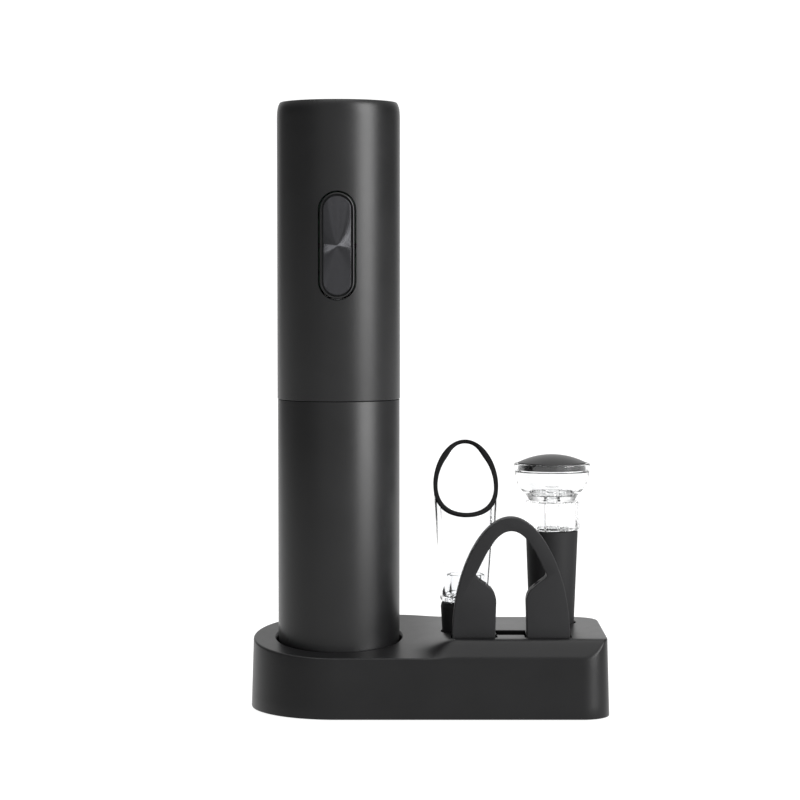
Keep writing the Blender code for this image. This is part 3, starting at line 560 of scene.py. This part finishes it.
def recessTools():                             # a round well, and its chamfer square to the tilted plane
    s, d = sockets, baseDims
    reach = 0.003
    narrow, wide = s["recess"] - reach, s["recess"] + reach
    cone = turned([(narrow, -reach), (wide, reach), (narrow, reach)], (0, 0), 192)
    cone.transform(Matrix.Translation((openerAt[0], 0, d["tilt"] - s["chamfer"]))
                   @ Matrix.Rotation(math.atan(d["slope"]), 4, "X"))
    return [rod(s["recess"], s["recessFloor"], s["above"], openerAt, 192), cone]


def makeBase():
    s = sockets
    low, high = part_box("cutter_body")
    slotY = (low[1] - gap, high[1] + gap)
    near, far = s["pocketInner"], s["pocketOuter"]
    pockets = [flaredSlot((cutterAt[0] + a, cutterAt[0] + b), slotY, s["pocketFloor"])
               for a, b in ((-far, -near), (near, far))]
    across = (cutterAt[0] - near, cutterAt[0] + s["notchRight"])
    notch = flaredSlot(across, (s["notchFront"], s["notchBack"]), s["notchFloor"])
    tools = recessTools() + [flaredHole(s["pourer"], s["pourerFloor"], pourerAt),
                             flaredHole(s["stopper"], s["stopperFloor"], stopperAt)] + pockets + [notch]
    addPiece("baseShell", combined(baseSkin(), tools), "base", ["base_shell"], "black_plastic", 28)
    for number in range(1, 5):
        node = f"rubber_foot_{number}"
        low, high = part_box(node)
        radius = (high[0] - low[0]) / 2
        foot = rounded([(0, low[2]), (radius * 0.45, low[2]), (radius * 0.52, low[2] + 0.0003),
                        (radius * 0.62, low[2] + 0.0003), (radius * 0.70, low[2]), (radius, low[2], 0.0004),
                        (radius, high[2]), (0, high[2])])
        at = ((low[0] + high[0]) / 2, (low[1] + high[1]) / 2)
        addPiece(f"rubberFoot{number}", turned(foot, at, 48), "base", [node], "black_rubber")


screwDims = {"Head": 0.0023, "Head Depth": 0.0010, "Shank": 0.0012, "Slot": 0.0005, "Sides": 32}


def screwTree():                               # a cross-slotted screw standing on each given point
    graph, given = newTree("screws", {
        "Places": ("NodeSocketGeometry", None), "Head": ("NodeSocketFloat", 0.0023),
        "Head Depth": ("NodeSocketFloat", 0.001), "Shank": ("NodeSocketFloat", 0.0012),
        "Length": ("NodeSocketFloat", 0.01), "Slot": ("NodeSocketFloat", 0.0005),
        "Sides": ("NodeSocketInt", 32)})
    head = graph.add("GeometryNodeMeshCylinder", None, {
        "Vertices": given["Sides"], "Radius": given["Head"], "Depth": given["Head Depth"]})
    bars = []
    for long, short in ((2.0, 1.0), (1.0, 2.0)):
        sizes = [given["Head"] * 1.3 if long > short else given["Slot"],
                 given["Slot"] if long > short else given["Head"] * 1.3, given["Head Depth"]]
        bar = graph.add("GeometryNodeMeshCube", None, {"Size": graph.join(*sizes)})
        bars.append(graph.add("GeometryNodeTransform", None, {
            "Geometry": bar, "Translation": graph.join(0.0, 0.0, given["Head Depth"] * -0.6)}))
    cross = graph.add("GeometryNodeMeshBoolean", {"operation": "UNION"})
    cut = graph.add("GeometryNodeMeshBoolean", {"operation": "DIFFERENCE"}, {"Mesh 1": head})
    for bar in bars:
        graph.tree.links.new(bar.socket, cross.socket.node.inputs["Mesh 2"])
    graph.tree.links.new(cross.socket, cut.socket.node.inputs["Mesh 2"])
    shank = graph.add("GeometryNodeMeshCone", None, {
        "Vertices": given["Sides"], "Radius Bottom": given["Shank"], "Radius Top": given["Shank"] * 0.5,
        "Depth": given["Length"]})
    lifted = graph.add("GeometryNodeTransform", None, {
        "Geometry": shank, "Translation": graph.join(0.0, 0.0, given["Head Depth"] * 0.4)})
    both = graph.add("GeometryNodeJoinGeometry")
    for piece in (cut, lifted):
        graph.tree.links.new(piece.socket, both.socket.node.inputs[0])
    points = graph.add("GeometryNodeMeshToPoints", None, {"Mesh": given["Places"]})
    screws = graph.add("GeometryNodeInstanceOnPoints", None, {"Points": points, "Instance": both})
    return endTree(graph, screws, "zinc_steel")


def makeScrews():
    nodes = [f"base_screw_{number}" for number in range(1, 5)]
    start = bpy.data.meshes.new("screwPlaces")
    low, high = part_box(nodes[0])
    depth = screwDims["Head Depth"]
    start.from_pydata([(*middle(node), low[2] + depth / 2) for node in nodes], [], [])
    values = {**screwDims, "Length": high[2] - low[2] - depth}
    addPiece("baseScrews", grown(screwTree(), values, start), "base", nodes, "zinc_steel")


makeBase()
makeScrews()
print("base made")


# opener housings

housing = {"radius": 0.0230, "wall": 0.0020, "top": 0.2271, "shoulder": 0.0065, "crown": 0.0219,
           "seam": 0.1164, "seamGap": 0.0002, "lowerRadius": 0.02285, "bottom": 0.0096, "spigot": 0.0206,
           "spigotTop": 0.1215, "segments": 224}
button = {"z": 0.1736, "hole": (0.0138, 0.0398), "bezel": (0.0128, 0.0388), "plate": (0.0104, 0.0364),
          "front": 0.0235, "back": 0.0191, "seat": 0.0221, "plateFront": 0.0232, "plateBack": 0.0219,
          "flare": 0.00025, "inside": 0.0180, "outside": 0.0260, "steps": 30, "rings": 12}


def pillOnCylinder(size, inset, radius):       # a slot outline wrapped on the front of a round body
    width, height = size[0] / 2 - inset, size[1] / 2 - inset
    loop = []
    for side, start in ((1, 0), (-1, 180)):
        for i in range(button["steps"] + 1):
            a = math.radians(start + 180 * i / button["steps"])
            x, z = width * math.cos(a), side * (height - width) + width * math.sin(a)
            loop.append((openerAt[0] + x, -math.sqrt(radius * radius - x * x), button["z"] + z))
    return loop


def makeHousings():
    h = housing
    inner, low = h["radius"] - h["wall"], h["seam"] + h["seamGap"] / 2
    radius, top = h["radius"], h["top"]
    shoulder = bezier((radius, top - h["shoulder"]), (radius, top - h["shoulder"] * 0.38),
                      (radius - 0.0004, top - 0.0014), (h["crown"], top - 0.0002), 16)
    ceiling, crown = top - h["wall"], h["crown"]
    profile = rounded([(0, ceiling), (inner, ceiling, 0.002), (inner, low), (radius, low, 0.0002),
                       *shoulder, (crown - 0.0003, top - 0.00005), (crown - 0.0007, top), (0, top)], 9)
    upper = turned(profile, openerAt, h["segments"])
    flare = button["flare"]
    steps = ((0, button["inside"]), (0, radius - 0.0003), (-flare * 0.4, radius - 0.0001),
             (-flare, radius + 0.0001), (-flare, button["outside"]))
    opening = loft([pillOnCylinder(button["hole"], inset, reach) for inset, reach in steps])
    low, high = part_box("charge_socket")
    port = block((low[0] - gap, high[0] + gap), (0.015, 0.030), (low[2] - gap, high[2] + gap))
    shell = combined(upper, [opening, bevelled(port, 0.0006)])
    addPiece("upperHousing", shell, "opener", ["upper_housing"], "satin_black", 28)
    outer, high = h["lowerRadius"], h["seam"] - h["seamGap"] / 2
    inner, neck = outer - h["wall"], h["spigot"] - h["wall"]
    profile = rounded([(inner, h["bottom"], 0.0003), (outer, h["bottom"], 0.0007), (outer, high, 0.0002),
                       (h["spigot"], high), (h["spigot"], h["spigotTop"], 0.0003), (neck, h["spigotTop"]),
                       (neck, high - 0.004), (inner, high - 0.007)])
    shell = turned(profile, openerAt, h["segments"])
    addPiece("lowerHousing", shell, "opener", ["lower_housing"], "satin_black")


def makeRocker():
    b = button
    front, plateFront, half = b["front"], b["plateFront"], b["plate"][0] / 2
    edge = [(0.0, b["back"]), (0.0, front - 0.0004), (0.00004, front - 0.0002), (0.00015, front - 0.00006),
            (0.0003, front), (0.0005, front), (0.0006, front - 0.00012), (0.00078, front - 0.0004),
            (0.0009, front - 0.0006), (0.0009, b["seat"])]
    bezel = loft([pillOnCylinder(b["bezel"], inset, radius) for inset, radius in edge])
    addPiece("rockerBezel", bezel, "rocker", ["rocker_bezel"], "satin_black", 40)
    edge = [(0.0, b["plateBack"]), (0.0, plateFront - 0.0002), (0.00006, plateFront - 0.00005),
            (0.0002, plateFront)]
    edge += [(half * k / b["rings"], plateFront) for k in range(1, b["rings"])]
    edge.append((half - 0.00005, plateFront))
    plate = loft([pillOnCylinder(b["plate"], inset, radius) for inset, radius in edge])
    addPiece("rockerPlate", plate, "rocker", ["rocker_plate"], "spun_steel", 40)


makeHousings()
makeRocker()
print("opener housings and rocker made")


# opener's mouth and worm

mouth = {"guideOuter": 0.0204, "guideInner": 0.0155, "stop": 0.0440, "shelf": 0.0470, "corkBore": 0.0120,
         "chimney": 0.0126, "chimneyOuter": 0.0142, "chimneyFoot": 0.0500, "chimneyTop": 0.0860}
wormDims = {"Coil": 0.0034, "Wire": 0.0013, "Turns": 4.4706, "Tip": 0.0460, "Top": 0.0840, "Shank": 0.0943,
            "Points": 260, "Sides": 20}


def makeMouth():
    m = mouth
    low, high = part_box("mouth_ring")
    ring = rounded([(0.0162, low[2], 0.0003), (m["guideOuter"], low[2], 0.0002), (m["guideOuter"], high[2]),
                    (0.0160, high[2], 0.0003)])
    addPiece("mouthRing", turned(ring, openerAt, 128), "opener", ["mouth_ring"], "satin_black")
    low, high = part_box("bottle_guide")
    outer, shelf, stop, top = m["guideOuter"], m["shelf"], m["stop"], m["chimneyTop"]
    guide = rounded([(0.0165, low[2], 0.0004), (outer, low[2]), (outer, shelf, 0.001),
                     (m["chimneyOuter"], m["chimneyFoot"], 0.001), (m["chimneyOuter"], top, 0.0003),
                     (m["chimney"], top, 0.0003), (m["chimney"], shelf), (m["corkBore"], shelf, 0.0002),
                     (m["corkBore"], stop, 0.0005), (m["guideInner"], stop, 0.0008),
                     (m["guideInner"], 0.0150, 0.0008)])
    addPiece("bottleGuide", turned(guide, openerAt, 128), "opener", ["bottle_guide"], "black_plastic")


def wormTree():                                # a coiled wire with a sharp tip that eases onto its axis
    floats = {"Coil": 0.0034, "Wire": 0.0013, "Turns": 4.5, "Tip": 0.046, "Top": 0.084, "Shank": 0.094}
    inputs = {title: ("NodeSocketFloat", default) for title, default in floats.items()}
    inputs.update({"Points": ("NodeSocketInt", 200), "Sides": ("NodeSocketInt", 16)})
    graph, given = newTree("worm", inputs)
    line = graph.add("GeometryNodeCurvePrimitiveLine", None, {"End": (0.0, 0.0, 1.0)})
    line = graph.add("GeometryNodeResampleCurve", None, {"Curve": line, "Count": given["Points"]})
    along = graph.add("GeometryNodeSplineParameter")
    height = given["Tip"] + along * (given["Shank"] - given["Tip"])
    turn = (height - given["Tip"]) / (given["Top"] - given["Tip"]) * given["Turns"]
    easing = graph.ramp(turn, given["Turns"] - 0.5, given["Turns"], 1.0, 0.0)
    radius = given["Coil"] * easing
    angle = turn * (2 * math.pi)
    place = graph.join(radius * graph.cosine(angle), radius * graph.sine(angle), height)
    coil = graph.add("GeometryNodeSetPosition", None, {"Geometry": line, "Position": place})
    point = graph.ramp(turn, -0.2, 0.75, 0.05, 1.0)
    coil = graph.add("GeometryNodeSetCurveRadius", None, {"Curve": coil, "Radius": point})
    ring = graph.add("GeometryNodeCurvePrimitiveCircle", None, {
        "Resolution": given["Sides"], "Radius": given["Wire"]})
    values = {"Curve": coil, "Profile Curve": ring, "Fill Caps": True}
    node = graph.add("GeometryNodeCurveToMesh").socket.node
    if "Scale" in node.inputs:
        values["Scale"] = point
    for key, value in values.items():
        if isinstance(value, Field):
            graph.tree.links.new(value.socket, node.inputs[key])
        else:
            node.inputs[key].default_value = value
    smooth = graph.add("GeometryNodeSetShadeSmooth", None, {"Geometry": Field(graph, node.outputs[0])})
    return endTree(graph, smooth, "polished_steel")


def makeWorm():
    mesh = grown(wormTree(), wormDims)
    mesh.transform(Matrix.Translation((*openerAt, 0)))
    addPiece("worm", mesh, "output", ["worm"], "polished_steel", 60)


makeMouth()
makeWorm()
print("mouth and worm made")


# foil cutter

cutter = {"edge": 0.00035, "foot": 0.0213, "outerTop": 0.0736, "innerTop": 0.0687, "outerHalf": 0.0217,
          "wheel": 0.0018, "wheelWidth": 0.0010, "axle": 0.0006, "axleEnd": 0.0023, "axleHole": 0.0009,
          "axleHoleEnd": 0.0026, "steps": 44}


def cutterOutline():                           # an arch on two wide legs, as (x, z)
    c = cutter
    half, foot, top, crest = c["outerHalf"], c["foot"], c["outerTop"], c["innerTop"]
    outer = bezier((0, top), (0.0115, top), (half, 0.0520), (half, 0.0300), c["steps"])
    legs = rounded([(half, 0.0290), (half, foot, 0.001), (0.0060, foot, 0.0006), (0.0057, 0.0360)], 6)
    nose = bezier((0.0055, 0.0424), (0.0055, 0.0446), (0.0063, 0.0466), (0.0082, 0.0480), 12)
    shoulder = bezier((0.0119, 0.0509), (0.0129, 0.0516), (0.0132, 0.0523), (0.0129, 0.0529), 8)
    inner = bezier((0.0129, 0.0529), (0.0095, 0.0595), (0.0060, crest), (0.0, crest), 30)
    right = outer + legs + nose + shoulder + inner[1:]
    return right + [(-x, z) for x, z in reversed(right[1:-1])]


def insetOutline(outline, amount):             # moves each point squarely inwards
    points = [Vector(point) for point in outline]
    moved = []
    for i, here in enumerate(points):
        first = (here - points[i - 1]).normalized()
        second = (points[(i + 1) % len(points)] - here).normalized()
        along = (first + second).normalized()
        moved.append(here + Vector((along.y, -along.x)) * (amount / max(along.dot(first), 0.5)))
    return moved


def uprightSlab(outline, low, high, edge):     # a clockwise (x, z) outline given thickness along Y
    angles = [math.pi / 8 * k for k in range(5)]
    steps = [(edge * (1 - math.sin(a)), edge * (1 - math.cos(a))) for a in angles]
    loops = [(inset, low + depth) for inset, depth in steps] + [
        (inset, high - depth) for inset, depth in reversed(steps)]
    return loft([[(x, y, z) for x, z in insetOutline(outline, inset)] for inset, y in loops])


def makeCutter():
    c = cutter
    low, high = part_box("cutter_body")
    body = uprightSlab(cutterOutline(), low[1], high[1], c["edge"])
    body.transform(Matrix.Translation((cutterAt[0], 0, 0)))
    tools = []
    for number in range(1, 5):
        node = f"cutting_wheel_{number}"
        low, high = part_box(node)
        x, y, z = ((low[k] + high[k]) / 2 for k in range(3))
        turnIt = Matrix.Translation((x, y, z)) @ Matrix.Rotation(math.pi / 2, 4, "X")
        axle, end, half, rim = c["axle"], c["axleEnd"], c["wheelWidth"] / 2, c["wheel"] - 0.00003
        pocket = rod(c["wheel"] + gap, -half - gap, half + gap, (0, 0), 48)
        hole = rod(c["axleHole"], -c["axleHoleEnd"], c["axleHoleEnd"], (0, 0), 24)
        for tool in (pocket, hole):
            tool.transform(turnIt)
            tools.append(tool)
        side = [(0, end), (axle, end), (axle, half), (0.0010, half), (0.0012, half * 0.7),
                (rim, half * 0.05)]
        disc = turned([(r, -z) for r, z in side] + side[::-1], (0, 0), 64)
        disc.transform(turnIt)
        # the wheels get near-black steel as painted shade in their pockets
        addPiece(f"cuttingWheel{number}", disc, f"wheel_{number}", [node], "polished_steel",
                 paint="shaded_steel")
    addPiece("cutterBody", combined(body, tools), "foil_cutter", ["cutter_body"], "matte_black", 40)


makeCutter()
print("foil cutter made")


# pourer

spout = {"low": 0.0407, "wall": 0.0016, "tipWall": 0.0005, "tipStart": 0.0930, "tipEnd": 0.0995,
         "coneRadius": 0.0100, "coneHeight": 0.0500, "slope": 0.066, "rings": (0.0480, 0.0600),
         "middle": 0.0826, "rise": 0.0133, "curve": 0.0037, "lip": 0.0005, "steps": 160, "settle": 12}
tubeDims = {"bore": 0.0046, "outer": 0.0060, "cupBore": 0.0056, "cupOuter": 0.0071, "cupFoot": 0.0404,
            "boreTop": 0.0410, "cupFloor": 0.0430}


def wallAt(z):                                 # the wall thins towards the pouring tip
    s = spout
    t = min(max((z - s["tipStart"]) / (s["tipEnd"] - s["tipStart"]), 0.0), 1.0)
    return s["wall"] + (s["tipWall"] - s["wall"]) * t * t * (3 - 2 * t)


def coneLoop(side, height=None, shift=0.0, inset=0.0):   # side 0 is the outer face and 1 the inner face
    s = spout
    loop = []
    for i in range(s["steps"]):
        angle = 2 * math.pi * i / s["steps"]
        z = s["middle"] if height is None else height
        for attempt in range(s["settle"]):     # the slanted rim's height and radius depend on each other
            outer = s["coneRadius"] + s["slope"] * (z - s["coneHeight"])
            radius = outer - wallAt(z) * side - inset
            back = math.sin(angle) * radius / outer
            if height is None:
                z = s["middle"] + s["rise"] * back + s["curve"] * back * back + shift
        loop.append((pourerAt[0] + radius * math.cos(angle), pourerAt[1] + radius * math.sin(angle), z))
    return loop


def levelLoop(radius, height):
    x, y = pourerAt
    angles = [2 * math.pi * i / spout["steps"] for i in range(spout["steps"])]
    return [(x + radius * math.cos(a), y + radius * math.sin(a), height) for a in angles]


def makePourer():
    s = spout
    low, floor, nudge = s["low"], s["low"] + s["wall"], 0.0001
    foot = [(0.0074, low), (0.0091, low), (0.00945, low + 0.0003), (0.0097, low + 0.0010),
            (0.00982, low + 0.0030)]
    loops = [levelLoop(radius, height) for radius, height in foot]
    loops += [coneLoop(0, height) for height in s["rings"]]
    loops += [coneLoop(0, shift=-nudge), coneLoop(0, inset=nudge)]
    loops += [coneLoop(1, inset=-nudge), coneLoop(1, shift=-nudge)]
    loops += [coneLoop(1, height) for height in reversed(s["rings"])]
    loops += [levelLoop(0.0081, floor + 0.0004), levelLoop(0.0077, floor), levelLoop(0.0074, floor)]
    addPiece("pourerSpout", loft(loops, closed=True), "pourer", ["pourer_spout"], "clear_plastic", 50,
             "clear_spout")
    low, high = 0.00002, gap + s["lip"]
    band = [(0, 0.0, low), (0, 0.0, high - 0.0002), (0, 0.00005, high - 0.00005), (0, 0.0002, high),
            (1, -0.0002, high), (1, -0.00005, high - 0.00005), (1, 0.0, high - 0.0002), (1, 0.0, low)]
    lip = loft([coneLoop(side, shift=shift, inset=inset) for side, inset, shift in band], closed=True)
    rim = addPiece("dripLip", lip, "pourer", ["drip_lip"], "satin_black", 50, "drip_black")
    rim.visible_transmission = rim.visible_glossy = False      # keeps the clear wall below it clean
    t = tubeDims
    low, high = [corner[2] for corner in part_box("pourer_tube")]
    tube = rounded([(t["bore"], low, 0.0003), (t["outer"], low, 0.0003), (t["outer"], t["cupFoot"]),
                    (t["cupOuter"], t["cupFoot"], 0.0002), (t["cupOuter"], high, 0.0004),
                    (t["cupBore"], high, 0.0004), (t["cupBore"], t["cupFloor"]), (t["bore"], t["boreTop"])])
    addPiece("pourerTube", turned(tube, pourerAt, 128), "pourer", ["pourer_tube"], "clear_plastic", 35,
             "clear_spout")
    low, high = [corner[2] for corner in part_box("pourer_plug")]
    plug = rounded([(0.0063, low), (0.0079, low, 0.0003), (0.0085, low + 0.001, 0.0006),
                    (0.0088, baseDims["deck"]), (0.0094, high - 0.0016, 0.0008), (0.0090, high, 0.0005),
                    (0.0063, high)])
    addPiece("pourerPlug", turned(plug, pourerAt, 128), "pourer", ["pourer_plug"], "black_rubber")


makePourer()
print("pourer made")


# vacuum stopper

flutes = {"count": 16, "depth": 0.0006, "radius": 0.0106, "from": 0.0100, "segments": 256}
stopperDims = {"flangeLow": 0.0653, "flangeHigh": 0.0761, "barrel": 0.0061, "bore": 0.0049, "valve": 0.0015,
               "rod": 0.0023, "head": 0.0146, "headBore": 0.0133, "rim": 0.0908, "cap": 0.0130,
               "capLow": 0.0883, "capEdge": 0.0910, "capTop": 0.0941, "capSteps": 24}


def fluteTree():                               # presses upright flutes into whatever stands beyond a radius
    graph, given = newTree("flutes", {
        "Body": ("NodeSocketGeometry", None), "Count": ("NodeSocketInt", 16),
        "Depth": ("NodeSocketFloat", 0.0005), "From": ("NodeSocketFloat", 0.01),
        "Centre": ("NodeSocketVector", None)})
    place = graph.add("GeometryNodeInputPosition")
    offset = graph.add("ShaderNodeVectorMath", {"operation": "SUBTRACT"}, {0: place, 1: given["Centre"]})
    x, y, z = graph.split(offset)
    radius = (x * x + y * y) ** 0.5
    angle = graph.add("ShaderNodeMath", {"operation": "ARCTAN2"}, {0: y, 1: x})
    wave = graph.ramp(graph.cosine(angle * given["Count"]), -0.6, 0.6, 1.0, 0.0)
    reach = graph.ramp(radius, given["From"], given["From"] + 0.0004, 0.0, 1.0)
    inward = wave * reach * given["Depth"] * -1.0
    push = graph.join(x / radius * inward, y / radius * inward, 0.0)
    pressed = graph.add("GeometryNodeSetPosition", None, {"Geometry": given["Body"], "Offset": push})
    return endTree(graph, pressed, "clear_plastic")


def makeStopper():
    s, f = stopperDims, flutes
    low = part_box("stopper_body")[0][2]
    floor, under, top = low + 0.004, s["flangeLow"], s["flangeHigh"]
    body = rounded([(s["valve"], low), (s["barrel"], low, 0.0004), (s["barrel"], under, 0.0003),
                    (f["radius"], under, 0.0005), (f["radius"], top, 0.0006), (s["bore"], top, 0.0004),
                    (s["bore"], floor, 0.0003), (s["valve"], floor)])
    pressed = grown(fluteTree(), {"Count": f["count"], "Depth": f["depth"], "From": f["from"],
                                  "Centre": (*stopperAt, 0.0)}, turned(body, stopperAt, f["segments"]))
    addPiece("stopperBody", pressed, "stopper", ["stopper_body"], "clear_plastic", 50)
    low, high = [corner[2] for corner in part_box("stopper_sleeve")]
    sleeve = rounded([(0.0064, low), (0.0078, low, 0.0004), (0.0083, low + 0.0008, 0.0006),
                      (0.0086, baseDims["deck"]), (0.0100, high, 0.0006), (0.0064, high)])
    addPiece("stopperSleeve", turned(sleeve, stopperAt), "stopper", ["stopper_sleeve"], "black_rubber")
    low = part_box("pump_head")[0][2]
    floor, rim, bore = low + 0.0026, s["rim"], s["headBore"]
    head = rounded([(s["rod"], low), (0.0088, low, 0.0007), (0.0100, low + 0.0021, 0.003),
                    (0.0116, 0.0801, 0.004), (0.0131, 0.0821, 0.004), (0.0140, 0.0850, 0.008),
                    (0.0144, 0.0880, 0.008), (s["head"], rim, 0.0005), (bore, rim, 0.0004), (bore, 0.0880),
                    (0.0126, 0.0877, 0.0004), (0.0120, 0.0842, 0.003), (0.0110, 0.0819, 0.002),
                    (0.0080, floor, 0.001), (s["rod"], floor)])
    addPiece("pumpHead", turned(head, stopperAt), "pump", ["pump_head"], "clear_plastic", 50)
    rise = s["capTop"] - s["capEdge"]
    sphere = (s["cap"] ** 2 + rise ** 2) / (2 * rise)
    half = math.asin(s["cap"] / sphere)
    angles = [half * (1 - k / s["capSteps"]) for k in range(1, s["capSteps"])]
    dome = [(sphere * math.sin(a), s["capTop"] - sphere + sphere * math.cos(a)) for a in angles]
    cap = rounded([(0, s["capLow"]), (s["cap"], s["capLow"], 0.0004), (s["cap"], s["capEdge"], 0.0007),
                   *dome, (0, s["capTop"])])
    addPiece("pumpCap", turned(cap, stopperAt), "pump", ["pump_cap"], "satin_black")
    low, high = [corner[2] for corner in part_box("piston_seal")]
    seal = rounded([(s["rod"], low), (0.0046, low, 0.0012), (0.0046, high, 0.0012), (s["rod"], high)])
    addPiece("pistonSeal", turned(seal, stopperAt, 96), "pump", ["piston_seal"], "black_rubber")


makeStopper()
print("vacuum stopper made")


# floor, light and camera

studio = {"floorFront": -2.6, "floorBack": 1.4, "curve": 0.9, "wallTop": 3.5, "halfWidth": 4.0,
          "wallHalf": 1.0, "glow": 0.94, "room": 0.85, "dimming": 0.75}
lamps = {
    "softboxRight": {"place": (openerAt[0] + 1.15, -0.82, 0.52), "aim": (openerAt[0], 0, 0.15),
                     "size": (0.80, 1.2), "power": 44},
    "overhead": {"place": (0.0, -0.2, 1.8), "aim": (0, 0, 0), "size": (1.6, 1.6), "power": 22},
}
view = {"right": 0.0230, "away": 0.930, "height": 0.1651, "down": math.radians(3.03), "lens": 111.49}


def makeStage():
    s = studio
    back, curve = s["floorBack"], s["curve"]
    path = [(s["floorFront"], 0.0, s["halfWidth"]), (back, 0.0, s["halfWidth"])]
    for k in range(1, 13):
        a = math.pi / 2 * k / 12
        path.append((back + curve * math.sin(a), curve * (1 - math.cos(a)), s["wallHalf"]))
    path.append((back + curve, s["wallTop"], s["wallHalf"]))
    points, faces = [], []
    for y, z, half in path:
        points += [(-half, y, z), (half, y, z)]
    for k in range(len(path) - 1):
        faces.append((2 * k, 2 * k + 1, 2 * k + 3, 2 * k + 2))
    paper = {"Roughness": 0.9, "Emission Color": (1, 1, 1, 1), "Emission Strength": s["glow"]}
    sheet = bpy.data.meshes.new("floor")
    sheet.from_pydata(points, [], faces)
    sheet.shade_smooth()
    sheet.materials.append(newMaterial("paper", paper, lambda graph: {
        "Base Color": tint(graph, noise(graph, 0.4), (0.13, 0.13, 0.13), (0.15, 0.15, 0.15))}))
    floor = bpy.data.objects.new("floor", sheet)
    bpy.context.scene.collection.objects.link(floor)


def addSoftbox(name, place, aim, size, power):
    lamp = bpy.data.lights.new(name, "AREA")
    lamp.shape = "RECTANGLE"
    lamp.size, lamp.size_y = size
    lamp.energy = power
    box = bpy.data.objects.new(name, lamp)
    box.location = place
    box.rotation_euler = (Vector(aim) - Vector(place)).to_track_quat("-Z", "Y").to_euler()
    bpy.context.scene.collection.objects.link(box)


def makeLight():
    world = bpy.data.worlds.new("studio")
    world.use_nodes = True
    world.node_tree.nodes.clear()
    graph = Graph(world.node_tree)                 # a bright room, dimmer low down at its two sides
    x, y, z = graph.split(graph.add("ShaderNodeTexCoord", None, None, "Generated"))
    side = graph.ramp((x * x) ** 0.5, 0.40, 0.80, 0.0, 1.0) * graph.ramp(z, 0.15, 0.75, 1.0, 0.0)
    seen = graph.add("ShaderNodeLightPath", None, None, "Is Camera Ray")
    strength = studio["room"] - side * studio["dimming"] * (1 - seen)
    room = graph.add("ShaderNodeBackground", None, {"Color": (1, 1, 1, 1), "Strength": strength})
    graph.add("ShaderNodeOutputWorld", None, {"Surface": room})
    bpy.context.scene.world = world
    for name, lamp in lamps.items():
        addSoftbox(name, **lamp)
    bpy.context.scene.view_settings.view_transform = "Standard"


def makeCamera():
    lens = bpy.data.cameras.new("camera")
    lens.lens = view["lens"]
    lens.sensor_width = 36
    camera = bpy.data.objects.new("camera", lens)
    camera.location = (openerAt[0] + view["right"], -view["away"], view["height"])
    camera.rotation_euler = (math.pi / 2 - view["down"], 0, 0)
    bpy.context.scene.collection.objects.link(camera)
    bpy.context.scene.camera = camera


makeStage()
makeLight()
makeCamera()
print("stage, light and camera made")
